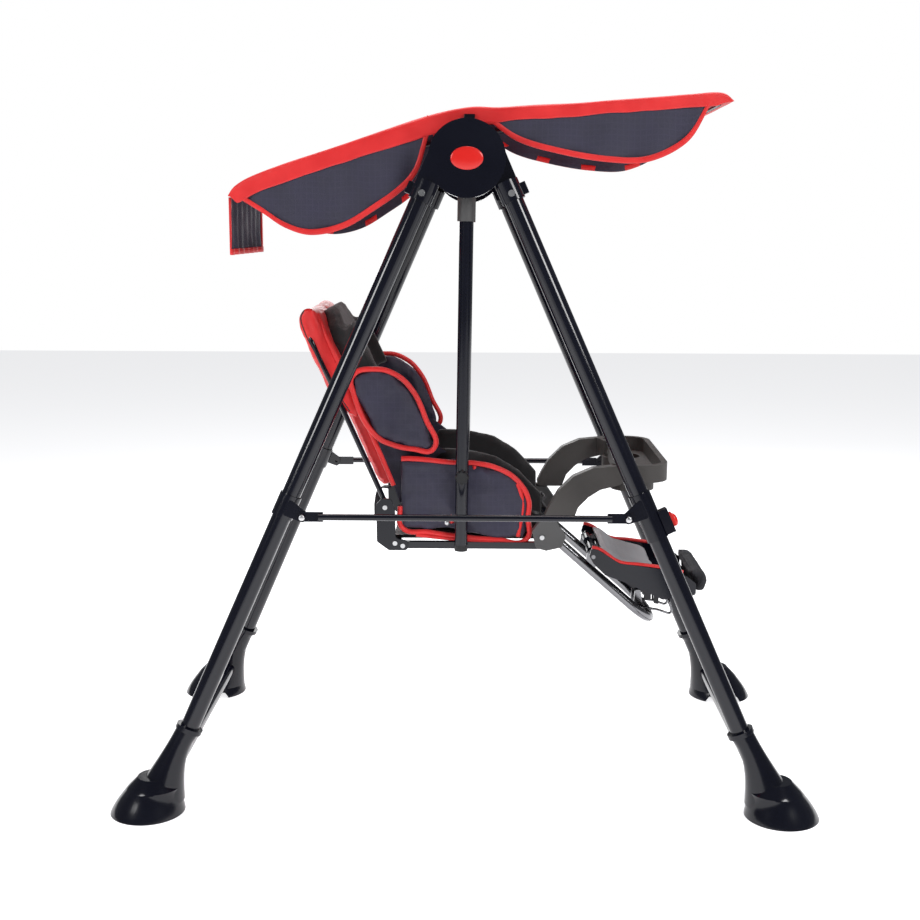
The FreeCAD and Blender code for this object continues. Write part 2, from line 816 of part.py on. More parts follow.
seat_screw_places = [
    (recline_x + 19, bracket_near + bracket_thickness, rail_level + 5, 0),
    (recline_x + 34, bracket_near + bracket_thickness, rail_level, 0),
    (recline_x, bracket_near + bracket_thickness, recline_level, 0),
    (housing_outline[1][0] + 5, housing_near + housing_thickness, rail_level + 22, 0),
]
screws("seat_screws", both_sides(seat_screw_places), 4.5, 2.5)

# Seat knobs: star knobs that clamp each hanger to the seat side
knob_place = hanger_side * along_y(0, size("hanger_diameter") / 2 + 0.3, -size("knob_drop"))
knob_core = cylinder("knob_core", "Sizes.knob_diameter / 2 - 3", "11", knob_place)
knob_lobes = [
    cylinder(
        "knob_lobe_%d" % index,
        "3.4",
        "9",
        knob_place * at(0, 0, 0, Z_AXIS, index * 45) * at(size("knob_diameter") / 2 - 3.4, 0, 0),
    )
    for index in range(8)
]
seat_knob = joined("seat_knob", knob_core, *knob_lobes)
left_and_right("seat_knob", seat_knob)

# Soft seat: cushion and side panels. Simple closed solids hold their size and place.

gap = size("soft_gap")
cushion_level = board_level + board_thickness + gap
cushion_half = size("seat_inner_half") - 1.5
cushion_profile = [
    (board_rear + 14, cushion_level),
    (board_rear + 14, cushion_level + size("cushion_thickness")),
    (board_front - 10, cushion_level + size("cushion_thickness") + 4),
    (board_front + 2, cushion_level + 10),
    (board_front - 2, cushion_level),
]
seat_cushion = plate("seat_cushion_body", cushion_profile, 9, "%f" % (2 * cushion_half), at(0, 0, 0))
node(seat_cushion, "seat_cushion")

panel_middle = size("seat_inner_half") + size("seat_panel_thickness") / 2
panel_outline = [
    (-126, rail_level + 32),
    (-131, rail_level + 70),
    (-128, rail_level + 172),
    (-104, rail_level + 169),
    (-21, rail_level + 172),
    (17, rail_level + 162),
    (65, rail_level + 151),
    (101, rail_level + 128),
    (124, rail_level + 88),
    (121, rail_level + 62),
    (118, rail_level + 10),
    (60, rail_level + 8),
]
side_panel = plate(
    "side_panel", panel_outline, 8, "Sizes.seat_panel_thickness", at(0, panel_middle, 0)
)
pair("side_panels", side_panel)

strap_thickness = 2
strap_level = cushion_level + size("cushion_thickness") + 4.5
lap_parts = [
    block("crotch_strap", "64", "38", "%f" % strap_thickness, at(36, -19, strap_level)),
    block("lap_strap", "34", "90", "%f" % strap_thickness, at(-6, 34, strap_level)),
    block("lap_strap_twin", "34", "90", "%f" % strap_thickness, at(-6, -124, strap_level)),
]
node(grouped("lap_group", *lap_parts), "harness_lap_straps")
buckle_outline = [(-10, 0), (-10, 12), (0, 16), (28, 16), (35, 10), (35, 0)]
buckle = plate("buckle_body", buckle_outline, 4, "64", at(0, 0, strap_level))
node(buckle, "harness_buckle")
strap_tail = block("strap_tail", "2", "30", "74", at(recline_x - 36, rail_outer - 33, rail_level - 20))
strap_run = block("strap_run", "24", "30", "2", at(recline_x - 34, rail_outer - 33, rail_level + 52))
node(joined("recline_strap_body", strap_tail, strap_run), "recline_strap")

# Backrest: its own frame, upright along local Z and facing local +X, leans back about the recline pins

back_frame = at(recline_x, 0, recline_level, Y_AXIS, -size("back_angle"))
rod_y = size("seat_inner_half") + 18
rod_points = [
    (2, rod_y, 0), (2, rod_y, size("back_length") - 8), (2, -rod_y, size("back_length") - 8), (2, -rod_y, 0),
]
rod_bend = 60
back_rod = bent_rod("back_rod", rod_points, rod_bend, size("back_rod_diameter"))
eye_ring = Part.makeCylinder(11, 10, Vector(0, rod_y - 5, 0), Y_AXIS)
eye_ring_twin = eye_ring.mirror(Vector(), Y_AXIS)
eye_hole = Part.makeCylinder(4 + size("running_gap"), 4 * rod_y, Vector(0, -2 * rod_y, 0), Y_AXIS)
back_rod_shape = back_rod.Shape.fuse([eye_ring, eye_ring_twin]).cut(eye_hole)
doc.removeObject(back_rod.Name)
node(feature("backrest_frame_rod", back_rod_shape, back_frame), "backrest_frame")

shell_near = 8
shell_far = shell_near + size("shell_thickness")
shell_half = rod_y - size("back_rod_diameter") / 2 - 2
shell_top = size("back_length") + 6
shell_face = [
    (-shell_half, 26, 0), (-shell_half, shell_top - 30, 0), (-shell_half + 50, shell_top, 0),
    (shell_half - 50, shell_top, 0), (shell_half, shell_top - 30, 0), (shell_half, 26, 0),
]


def slab(outline, radius, near, far):
    """A padded slab: a rounded outline across Y and up Z, from one depth along X to another."""
    wire = Part.Wire([edge.toShape() for edge in rounded(outline, radius)])
    face = Part.Face(wire)
    face.rotate(Vector(), Vector(1, 1, 1), 120)
    face.translate(Vector(near, 0, 0))
    return face.extrude(Vector(far - near, 0, 0))


node(feature("back_shell_slab", slab(shell_face, 24, shell_near, shell_far), back_frame), "back_shell")

liner_near = shell_far + gap
liner_far = liner_near + size("liner_thickness")
liner_half = size("seat_inner_half") - 3
liner_top = size("back_length") - 2
liner_face = [
    (-liner_half, -10, 0), (-liner_half, liner_top - 40, 0), (-liner_half + 54, liner_top, 0),
    (liner_half - 54, liner_top, 0), (liner_half, liner_top - 40, 0), (liner_half, -10, 0),
]
bolster_inner = liner_half - 34
liner_shape = slab(liner_face, 24, liner_near, liner_far)
for side in (-1, 1):
    bolster_face = [
        (side * bolster_inner, 236, 0), (side * bolster_inner, 356, 0),
        (side * liner_half, 346, 0), (side * liner_half, 236, 0),
    ]
    liner_shape = liner_shape.fuse(slab(bolster_face, 10, liner_far - 2, liner_far + 28))
node(feature("back_cushion_slab", liner_shape.removeSplitter(), back_frame), "back_cushion")

wing_outline = [
    (34, 222), (46, 257), (92, 250), (121, 226), (138, 189),
    (140, 125), (131, 64), (93, 82), (62, 104), (40, 130),
]
wing = plate(
    "wing", wing_outline, 9, "Sizes.seat_panel_thickness", back_frame * at(0, panel_middle, 0)
)
pair("backrest_wings", wing)

strap_near = liner_far + gap
shoulder_parts = [
    block(
        "shoulder_strap_%d" % index, "2", "34", "190",
        back_frame * at(strap_near, side * 52 - 17, 40),
    )
    for index, side in enumerate((-1, 1))
]
node(grouped("shoulder_group", *shoulder_parts), "shoulder_straps")

# Tray: one moulding, a rimmed board with two cup wells on two arched arms that plug into the housings

tray_level = rail_level + size("tray_floor_rise")
tray_half = seat_outer + size("tray_arm_thickness")
tray_rear = size("tray_rear")
tray_front = size("tray_front")
tray_wall = size("tray_wall")
rim_top = tray_level + size("tray_rim")


def tray_plan(shrink):
    """The tray's plan at the floor's level: straight sides, a bowed belly edge and round front corners."""
    half = tray_half - shrink
    front = tray_front - shrink
    rear = tray_rear + shrink
    belly = 26
    points = [
        (rear, half, 0), (front, half, 0), (front, -half, 0), (rear, -half, 0),
        (rear + belly, -half + 90, 0), (rear + belly, half - 90, 0),
    ]
    return Part.Face(Part.Wire([edge.toShape() for edge in rounded(points, 52 - shrink)]))


def raised(face, low, high):
    """A plan face stood up between two levels."""
    copy = face.copy()
    copy.translate(Vector(0, 0, low))
    return copy.extrude(Vector(0, 0, high - low))


arm_y = housing_middle
arm_outline = [
    (tongue_x - 12, socket_top + 0.5), (160, socket_top + 30), (176, socket_top + 58), (204, rim_top - 22),
    (240, rim_top - 6), (300, rim_top), (300, tray_level - 2), (256, tray_level - 13), (233, socket_top + 46),
    (214, socket_top + 26), (206, socket_top + 4), (203, socket_top + 0.5),
]
arm_wire = Part.Wire([
    edge.toShape() for edge in rounded([(x, 0, z) for x, z in arm_outline], 14)
])
arm_thickness = size("tray_arm_thickness")
tray_shape = raised(tray_plan(0), tray_level, rim_top)
cups = []
for side in (-1, 1):
    arm = Part.Face(arm_wire).extrude(Vector(0, arm_thickness, 0))
    arm.translate(Vector(0, side * (tray_half - arm_thickness / 2) - arm_thickness / 2, 0))
    tongue = Part.makeBox(
        tongue_width, tongue_thickness, tongue_length + 4,
        Vector(
            tongue_x - tongue_width / 2,
            side * housing_middle - tongue_thickness / 2,
            socket_top - tongue_length,
        ),
    )
    cup = Part.makeCylinder(
        size("cup_diameter") / 2 + tray_wall, size("cup_depth") + tray_wall,
        Vector(tray_front - 62, side * 96, tray_level - size("cup_depth")),
    )
    tray_shape = tray_shape.fuse([arm, tongue, cup])
    cups.append(
        Part.makeCylinder(
            size("cup_diameter") / 2, size("cup_depth") + size("tray_rim"),
            Vector(tray_front - 62, side * 96, tray_level - size("cup_depth") + tray_wall),
        )
    )
bowl = raised(tray_plan(arm_thickness / 2), tray_level + tray_wall, rim_top + 5)
tray_shape = tray_shape.cut([bowl] + cups).removeSplitter()
node(feature("tray_moulding", tray_shape), "tray")

# Footrest: a moulded plate on the footrest pin, with side walls, a toe end, notches below and a soft pad


def profile(points, radius, half_width, inner=None):
    """A prism across the swing from an XZ outline, or two thin ones at its sides."""
    wire = Part.Wire([edge.toShape() for edge in rounded([(x, 0, z) for x, z in points], radius)])
    spans = [(-half_width, half_width)] if inner is None else [(-half_width, -inner), (inner, half_width)]
    prisms = []
    for low, high in spans:
        prism = Part.Face(wire).extrude(Vector(0, high - low, 0))
        prism.translate(Vector(0, low, 0))
        prisms.append(prism)
    return prisms


px = plate_pin_x
pz = plate_pin_z
half = size("plate_half_width")
floor_outline = [
    (px + 11, pz + 7), (px + 52, pz - 26), (px + 139, pz - 54), (px + 204, pz - 64), (px + 204, pz - 76),
    (px + 137, pz - 67), (px + 46, pz - 38), (px + 11, pz - 10),
]
wall_outline = [
    (px - 8, pz + 2), (px - 4, pz + 17), (px + 10, pz + 14), (px + 52, pz - 13), (px + 93, pz - 18),
    (px + 143, pz - 25), (px + 188, pz - 40), (px + 204, pz - 53), (px + 204, pz - 76), (px + 139, pz - 86),
    (px + 63, pz - 51), (px + 24, pz - 37), (px, pz - 13),
]
comb_outline = [
    (px + 44, pz - 42), (px + 48, pz - 56), (px + 88, pz - 87), (px + 114, pz - 100), (px + 114, pz - 110),
    (px + 128, pz - 114), (px + 128, pz - 97), (px + 134, pz - 98), (px + 134, pz - 120),
    (px + 144, pz - 122),
    (px + 144, pz - 101), (px + 150, pz - 102), (px + 150, pz - 109), (px + 157, pz - 109.5),
    (px + 157, pz - 104.5), (px + 168, pz - 104.5), (px + 170, pz - 68), (px + 137, pz - 60),
]
plate_parts = profile(floor_outline, 4, half) + profile(wall_outline, 6, half, half - 6)
plate_parts += profile(comb_outline, 1.5, 18, 12)
knuckle_radius = size("plate_pin_diameter") / 2 + 5
for side in (-1, 1):
    plate_parts.append(Part.makeCylinder(knuckle_radius, 40, Vector(px, side * 45 - 20, pz), Y_AXIS))
    plate_parts.append(Part.makeBox(16, 40, 14, Vector(px, side * 45 - 20, pz - 8)))
plate_shape = plate_parts[0].fuse(plate_parts[1:])
pin_hole = Part.makeCylinder(
    size("plate_pin_diameter") / 2 + size("running_gap"), 4 * half, Vector(px, -2 * half, pz), Y_AXIS
)
plate_shape = plate_shape.cut(pin_hole).removeSplitter()
node(feature("footrest_plate_moulding", plate_shape), "footrest_plate")

pad_outline = [
    (px + 15, pz + 8), (px + 10, pz + 19), (px + 20, pz + 18), (px + 56, pz - 8), (px + 128, pz - 30),
    (px + 134, pz - 50.5), (px + 53, pz - 24),
]
calf_pad = feature("calf_pad_solid", profile(pad_outline, 5, half - 7)[0])
node(calf_pad, "calf_pad")
toe_outline = [
    (px + 204.4, pz - 74), (px + 204.4, pz - 12), (px + 208, pz - 2), (px + 224, pz - 20),
    (px + 228, pz - 40),
    (px + 214, pz - 74),
]
toe_cuff = feature("toe_cuff_solid", profile(toe_outline, 6, half - 22)[0])
node(toe_cuff, "toe_cuff")

# Bail: a wire hinged between lugs at the tube's end, whose bar sits under the combs' front ledge
bail_half = 34
bar_x = px + 162.5
bar_z = pz - 107.5
bail_points = [
    (bail_x, bail_half - 14, bail_z), (bail_x, bail_half, bail_z), (bail_x + 40, bail_half, bail_z - 7),
    (bar_x + 9, bail_half, bar_z - 32), (bar_x, bail_half, bar_z), (bar_x, -bail_half, bar_z),
    (bar_x + 9, -bail_half, bar_z - 32), (bail_x + 40, -bail_half, bail_z - 7), (bail_x, -bail_half, bail_z),
    (bail_x, -bail_half + 14, bail_z),
]
node(bent_rod("bail_wire", bail_points, 6, size("bail_diameter")), "footrest_bail")

# Canopy: an inverted V of fabric on two wire bows and a ridge tube, held on plate
# arms that turn on the cross tube

ridge_x = 8
ridge_z = axis_height + size("canopy_rise")
canopy_arm_near = hanger_track + hanger_radius + 0.6
canopy_half = canopy_arm_near - size("canopy_edge_gap")
arm_plate = 3.2
ring_radius = size("cross_tube_diameter") / 2 + 9
arm_disc = cylinder(
    "arm_disc", "%f" % ring_radius, "%f" % arm_plate, along_y(0, canopy_arm_near, axis_height)
)
arm_strip = block(
    "arm_strip", "20", "%f" % arm_plate, "%f" % (size("canopy_rise") - 2),
    at(ridge_x - 14, canopy_arm_near, axis_height),
)
arm_hole = cylinder(
    "arm_hole", "Sizes.cross_tube_diameter / 2 + Sizes.running_gap", "20",
    along_y(0, canopy_arm_near - 8, axis_height),
)
canopy_arm = carved("canopy_arm", joined("arm_solid", arm_disc, arm_strip), arm_hole)
pair("canopy_arms", canopy_arm)

ridge_radius = 7
ridge_tube = cylinder(
    "ridge_tube", "%f" % ridge_radius, "%f" % (2 * canopy_arm_near),
    along_y(ridge_x - 4, -canopy_arm_near, ridge_z - 10),
)
node(bored("ridge", ridge_tube, "Sizes.leg_wall"), "canopy_ridge_tube")

bow = size("bow_diameter")
cover = size("cover_thickness")
rear_x = ridge_x - size("canopy_rear") - 8
rear_z = ridge_z - size("canopy_rear_drop")
front_x = ridge_x + size("canopy_front")
front_z = ridge_z + size("canopy_front_rise")
bow_half = canopy_half - bow / 2 - 2
bow_sag = 5


def bow_points(end_x, end_z, toward):
    """A U of wire from the ridge out to one end of the canopy and back."""
    start_x = ridge_x - 4 + toward * (ridge_radius + bow / 2)
    return [
        (start_x, bow_half, ridge_z - 10), (end_x, bow_half, end_z - bow_sag),
        (end_x, -bow_half, end_z - bow_sag), (start_x, -bow_half, ridge_z - 10),
    ]


bow_wires = [
    bent_rod("rear_bow", bow_points(rear_x + 12, rear_z - 3, -1), 30, bow),
    bent_rod("front_bow", bow_points(front_x - 10, front_z - 3, 1), 30, bow),
]
node(grouped("bows", *bow_wires), "canopy_bows")


def cover_solid(points, half_width):
    """A fabric top: a strip of even thickness whose upper line passes through the points."""
    top = [Vector(x, 0, z) for x, z in points]
    under = [Vector(x, 0, z - cover) for x, z in reversed(points)]
    wire = Part.makePolygon(top + under + [top[0]])
    prism = Part.Face(wire).extrude(Vector(0, 2 * half_width, 0))
    prism.translate(Vector(0, -half_width, 0))
    return prism


rise = ridge_z + 10
rear_line = [
    (ridge_x - 2, rise), (-68, rise - 15), (-140, rise - 36), (-222, rise - 63), (-305, rise - 91),
    (-378, rise - 116), (rear_x, rear_z + 2), (rear_x - 12, rear_z - 12),
]
front_line = [
    (ridge_x - 1, rise), (50, rise), (167, rise + 8), (275, rise + 16), (401, rise + 24),
    (front_x - 12, rise + 26), (front_x + 10, rise + 12),
]
node(feature("rear_cover_strip", cover_solid(rear_line, canopy_half)), "canopy_rear_cover")
node(feature("front_cover_strip", cover_solid(front_line, canopy_half)), "canopy_front_cover")

valance = size("valance_thickness")
valance_y = canopy_half + 0.3
rear_scallop = [
    (rear_x + 10, rear_z - 20), (-376, axis_height - 97), (-334, axis_height - 124),
    (-285, axis_height - 137),
    (-224, axis_height - 124), (-168, axis_height - 91), (-122, axis_height - 59), (-92, axis_height - 26),
    (-76, axis_height + 20), (-66, rise - 18),
]
front_scallop = [
    (front_x - 34, rise + 5), (400, axis_height + 32), (332, axis_height - 3), (256, axis_height - 4),
    (169, axis_height + 10), (90, axis_height + 33), (30, rise - 16),
]


def valance_plate(name, upper, scallop):
    """A side valance: the cover's line above and a scalloped hem below."""
    outline = [(x, 0, z) for x, z in upper] + [(x, 0, z) for x, z in scallop]
    wire = Part.makePolygon([Vector(*point) for point in outline + [outline[0]]])
    prism = Part.Face(wire).extrude(Vector(0, valance, 0))
    return feature(name, prism, at(0, valance_y, 0))


rear_upper = [(x, z) for x, z in rear_line[1:]]
front_upper = [(x, z) for x, z in front_line[1:-1]]
rear_valance = valance_plate("rear_valance", rear_upper, rear_scallop)
front_valance = valance_plate("front_valance", front_upper, front_scallop)
rear_valance_twin = mirrored("rear_valance_twin", rear_valance, Y_AXIS)
front_valance_twin = mirrored("front_valance_twin", front_valance, Y_AXIS)
node(
    grouped("side_valances", rear_valance, front_valance, rear_valance_twin, front_valance_twin),
    "canopy_side_valances",
)
back_valance_height = 108
back_valance = block(
    "back_valance_flat", "Sizes.valance_thickness", "%f" % (2 * canopy_half), "%f" % back_valance_height,
    at(rear_x - 12, -canopy_half, rear_z - 15.5, Y_AXIS, 0) * at(0, 0, -back_valance_height),
)
node(back_valance, "canopy_back_valance")

# Check every object and write the parts

doc.recompute()
for thing in doc.Objects:
    bad = [state for state in thing.State if state in ("Invalid", "Error")]
    if bad:
        raise RuntimeError("%s is %s" % (thing.Name, bad))
for thing in nodes:
    if thing.Shape.isNull() or not thing.Shape.isValid() or not thing.Shape.Solids:
        raise RuntimeError("%s has no valid solid" % thing.Label)

os.makedirs("parts", exist_ok=True)
for thing in nodes:
    thing.Shape.exportStep("parts/%s.step" % thing.Label)
print("%d nodes written" % len(nodes))
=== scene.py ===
import math

import bmesh
import bpy
from mathutils import Matrix, Vector, noise


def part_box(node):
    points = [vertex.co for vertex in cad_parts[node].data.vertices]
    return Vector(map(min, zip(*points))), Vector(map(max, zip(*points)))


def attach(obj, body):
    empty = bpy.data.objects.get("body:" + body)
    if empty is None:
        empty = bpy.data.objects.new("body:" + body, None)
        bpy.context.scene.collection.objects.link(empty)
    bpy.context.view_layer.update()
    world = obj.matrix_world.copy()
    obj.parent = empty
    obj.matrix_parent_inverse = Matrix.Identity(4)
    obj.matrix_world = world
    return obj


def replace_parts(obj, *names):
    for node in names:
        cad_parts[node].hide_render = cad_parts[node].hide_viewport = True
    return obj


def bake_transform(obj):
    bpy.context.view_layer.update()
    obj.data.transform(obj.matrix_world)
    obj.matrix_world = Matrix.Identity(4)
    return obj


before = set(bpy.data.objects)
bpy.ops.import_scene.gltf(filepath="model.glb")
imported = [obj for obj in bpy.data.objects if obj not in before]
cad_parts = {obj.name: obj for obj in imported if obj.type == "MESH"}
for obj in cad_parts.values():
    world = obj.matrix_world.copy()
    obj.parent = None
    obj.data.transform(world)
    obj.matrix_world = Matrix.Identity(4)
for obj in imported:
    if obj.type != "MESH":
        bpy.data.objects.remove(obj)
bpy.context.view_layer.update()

# ---- Studio ------------------------------------------------------------------------
# A pale matt floor, a pale surround and three large soft lights, with the camera
# beside the swing at the height of a standing adult's chest.


def placed(name, shape, material, smooth=True):
    """Turns a finished bmesh into a named object with one material."""
    mesh = bpy.data.meshes.new(name)
    shape.to_mesh(mesh)
    shape.free()
    mesh.materials.append(material)
    mesh.polygons.foreach_set("use_smooth", [smooth] * len(mesh.polygons))
    piece = bpy.data.objects.new(name, mesh)
    bpy.context.scene.collection.objects.link(piece)
    return piece


def plain_finish(name, colour, roughness, **constants):
    """A Principled material; constants are socket names with _ for a space."""
    material = bpy.data.materials.new(name)
    material.use_nodes = True
    shader = material.node_tree.nodes["Principled BSDF"]
    shader.inputs["Base Color"].default_value = (*colour, 1)
    shader.inputs["Roughness"].default_value = roughness
    for socket, value in constants.items():
        shader.inputs[socket.replace("_", " ")].default_value = value
    return material


floor_shape = bmesh.new()
bmesh.ops.create_grid(floor_shape, x_segments=1, y_segments=1, size=9)
bmesh.ops.translate(floor_shape, verts=floor_shape.verts, vec=(0, 0, -0.0005))
pale = (0.86, 0.86, 0.87)
floor_finish = plain_finish("pale_floor", pale, 0.75, Emission_Color=(*pale, 1), Emission_Strength=0.8)
floor = placed("studio_floor", floor_shape, floor_finish, False)

world = bpy.data.worlds.new("studio_surround")
world.use_nodes = True
surround = world.node_tree
seen = surround.nodes["Background"]
seen.inputs["Color"].default_value = (1, 1, 1, 1)
seen.inputs["Strength"].default_value = 1.0
felt = surround.nodes.new("ShaderNodeBackground")
felt.inputs["Color"].default_value = (0.93, 0.96, 1, 1)
felt.inputs["Strength"].default_value = 0.16
ray = surround.nodes.new("ShaderNodeLightPath")
either = surround.nodes.new("ShaderNodeMixShader")
surround.links.new(ray.outputs["Is Camera Ray"], either.inputs[0])
surround.links.new(felt.outputs[0], either.inputs[1])
surround.links.new(seen.outputs[0], either.inputs[2])
surround.links.new(either.outputs[0], surround.nodes["World Output"].inputs[0])
bpy.context.scene.world = world
bpy.context.scene.view_settings.view_transform = "Standard"


def soft_light(name, place, target, size, power):
    """A square softbox aimed at a point."""
    lamp = bpy.data.lights.new(name, "AREA")
    lamp.size = size
    lamp.energy = power
    holder = bpy.data.objects.new(name, lamp)
    holder.location = place
    holder.rotation_euler = (Vector(target) - Vector(place)).to_track_quat("-Z", "Y").to_euler()
    bpy.context.scene.collection.objects.link(holder)


soft_light("light_front_right", (2.4, -2.6, 2.6), (0, 0, 0.7), 1.1, 62)
soft_light("light_front_left", (-2.6, -2.2, 2.0), (0, 0, 0.7), 1.0, 42)
soft_light("light_overhead", (0.2, 0.6, 3.4), (0, 0, 0.6), 2.4, 95)
soft_light("light_behind", (-0.6, 3.0, 1.8), (0, 0, 0.8), 1.6, 30)

camera_lens = bpy.data.cameras.new("side_camera")
camera_lens.lens = 52.04
camera_lens.sensor_width = 36
camera = bpy.data.objects.new("side_camera", camera_lens)
turn = Matrix.Rotation(0.0129, 4, "Z")
tilt = Matrix.Rotation(math.radians(90 - 9.9), 4, "X")
roll = Matrix.Rotation(0.0034, 4, "Z")
camera.matrix_world = Matrix.Translation((0.0209, -2.6675, 1.0771)) @ turn @ tilt @ roll
bpy.context.scene.collection.objects.link(camera)
bpy.context.scene.camera = camera

# ---- Painted steel: legs, hubs' tubes, braces, hangers and rails --------------------
# Thin steel tube with a baked blue-black enamel. It is glossy with a faint
# unevenness where the paint flowed.


def shader_group(name, inputs, outputs):
    """A node group with named sockets; returns its tree, its input and its output."""
    tree = bpy.data.node_groups.new(name, "ShaderNodeTree")
    for label, kind, value in inputs:
        socket = tree.interface.new_socket(label, in_out="INPUT", socket_type=kind)
        socket.default_value = value
    for label, kind in outputs:
        tree.interface.new_socket(label, in_out="OUTPUT", socket_type=kind)
    return tree, tree.nodes.new("NodeGroupInput"), tree.nodes.new("NodeGroupOutput")


NUMBER = "NodeSocketFloat"
COLOUR = "NodeSocketColor"

grain_inputs = [
    ("Dark", COLOUR, (0, 0, 0, 1)),
    ("Light", COLOUR, (1, 1, 1, 1)),
    ("Smoothest", NUMBER, 0.2),
    ("Roughest", NUMBER, 0.4),
    ("Grain", NUMBER, 900),
    ("Patches", NUMBER, 9),
]
grain_outputs = [("Colour", COLOUR), ("Roughness", NUMBER), ("Height", NUMBER)]
moulded_grain, grain_in, grain_out = shader_group("moulded_grain", grain_inputs, grain_outputs)
grain_place = moulded_grain.nodes.new("ShaderNodeTexCoord")
fine = moulded_grain.nodes.new("ShaderNodeTexNoise")
fine.inputs["Detail"].default_value = 2
broad = moulded_grain.nodes.new("ShaderNodeTexNoise")
broad.inputs["Detail"].default_value = 4
spread = moulded_grain.nodes.new("ShaderNodeMapRange")
spread.inputs["From Min"].default_value = 0.3
spread.inputs["From Max"].default_value = 0.7
tint = moulded_grain.nodes.new("ShaderNodeMix")
tint.data_type = "RGBA"
wire = moulded_grain.links.new
wire(grain_place.outputs["Object"], fine.inputs["Vector"])
wire(grain_place.outputs["Object"], broad.inputs["Vector"])
wire(grain_in.outputs["Grain"], fine.inputs["Scale"])
wire(grain_in.outputs["Patches"], broad.inputs["Scale"])
wire(broad.outputs["Fac"], spread.inputs["Value"])
wire(grain_in.outputs["Smoothest"], spread.inputs["To Min"])
wire(grain_in.outputs["Roughest"], spread.inputs["To Max"])
wire(broad.outputs["Fac"], tint.inputs["Factor"])
wire(grain_in.outputs["Dark"], tint.inputs["A"])
wire(grain_in.outputs["Light"], tint.inputs["B"])
wire(tint.outputs["Result"], grain_out.inputs["Colour"])
wire(spread.outputs["Result"], grain_out.inputs["Roughness"])
wire(fine.outputs["Fac"], grain_out.inputs["Height"])


def surfaced(name, group, values, bump, distance, **constants):
    """A material whose colour, roughness and relief come from a shared group."""
    material = plain_finish(name, (0.5, 0.5, 0.5), 0.5, **constants)
    tree = material.node_tree
    shader = tree.nodes["Principled BSDF"]
    pattern = tree.nodes.new("ShaderNodeGroup")
    pattern.node_tree = group
    for socket, value in values.items():
        pattern.inputs[socket].default_value = value
    relief = tree.nodes.new("ShaderNodeBump")
    relief.inputs["Strength"].default_value = bump
    relief.inputs["Distance"].default_value = distance
    tree.links.new(pattern.outputs["Colour"], shader.inputs["Base Color"])
    tree.links.new(pattern.outputs["Roughness"], shader.inputs["Roughness"])
    tree.links.new(pattern.outputs["Height"], relief.inputs["Height"])
    tree.links.new(relief.outputs["Normal"], shader.inputs["Normal"])
    return material


def moulded(name, dark, light, smoothest, roughest, grain, bump, **constants):
    """A hard finish with moulded or painted grain."""
    values = {
        "Dark": (*dark, 1),
        "Light": (*light, 1),
        "Smoothest": smoothest,
        "Roughest": roughest,
        "Grain": grain,
    }
    return surfaced(name, moulded_grain, values, bump, 0.0004, **constants)


def finished(names, material, edge=0.0006):
    """Gives made parts their material and breaks their sharp edges."""
    for name in names:
        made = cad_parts[name]
        for material_slot in made.material_slots:
            material_slot.material = material
        weld = made.modifiers.new("closed_faces", "WELD")
        weld.merge_threshold = 0.00001
        rounded = made.modifiers.new("broken_edges", "BEVEL")
        rounded.width = edge
        rounded.segments = 2
        rounded.limit_method = "ANGLE"
        rounded.angle_limit = math.radians(40)
        rounded.harden_normals = True
        even = made.modifiers.new("even_shading", "WEIGHTED_NORMAL")
        even.keep_sharp = True


def both(stem):
    """The names of a left and a right part."""
    return [stem + "_left", stem + "_right"]


enamel = moulded(
    "blue_black_enamel", (0.002, 0.002, 0.006), (0.004, 0.005, 0.012), 0.10, 0.18, 420, 0.04,
    Coat_Weight=0.2, Coat_Roughness=0.06, Specular_IOR_Level=0.4,
)
tubes = both("front_leg") + both("rear_leg") + both("brace_bar") + both("hanger")
tubes += ["front_floor_tube", "rear_floor_tube", "top_cross_tube", "seat_rails", "backrest_frame"]
tubes += ["canopy_arms", "canopy_ridge_tube", "canopy_bows", "brace_brackets", "hub_axles"]
finished(tubes, enamel, 0.0004)

# ---- Moulded plastic: hubs, feet, sleeves and hanger fittings ------------------------
# Injection-moulded polypropylene: gloss black at the hubs, feet and sleeves, and
# grey with a fine spark-eroded grain at the hanger heads and tray fittings.

gloss_black = moulded(
    "gloss_black_plastic", (0.002, 0.002, 0.006), (0.004, 0.005, 0.011), 0.12, 0.22, 300, 0.03,
    Specular_IOR_Level=0.4,
)
satin_black = moulded(
    "satin_black_plastic", (0.005, 0.005, 0.006), (0.010, 0.010, 0.012), 0.38, 0.55, 1500, 0.25
)
head_grey = moulded(
    "grey_plastic_grain", (0.055, 0.054, 0.055), (0.085, 0.084, 0.085), 0.42, 0.58, 1600, 0.3
)
tray_grey = moulded("tray_grey_grain", (0.036, 0.032, 0.030), (0.058, 0.052, 0.049), 0.44, 0.60, 1700, 0.35)
lever_red = moulded("red_plastic_gloss", (0.62, 0.012, 0.010), (0.74, 0.022, 0.016), 0.2, 0.32, 500, 0.08)
feet_and_hubs = both("front_foot") + both("rear_foot") + both("hub_plate") + both("hub_cover")
finished(feet_and_hubs, gloss_black, 0.0012)
finished(both("brace_sleeve") + ["rail_brackets"], gloss_black, 0.0008)
finished(["seat_board", "hanger_caps"] + both("seat_knob"), satin_black, 0.0008)
finished(["footrest_plate"], gloss_black, 0.0015)
finished(["hanger_heads", "tray_housings"], head_grey, 0.001)
finished(["tray"], tray_grey, 0.004)
finished(both("lock_button") + ["hub_badges"], lever_red, 0.0008)
finished(["harness_buckle"], satin_black, 0.001)

# ---- Bright metal: screws, the footrest's tube and its wire prop ---------------------
# Zinc-plated screws, and a tube and wire in dark nickel with fine drawn marks.

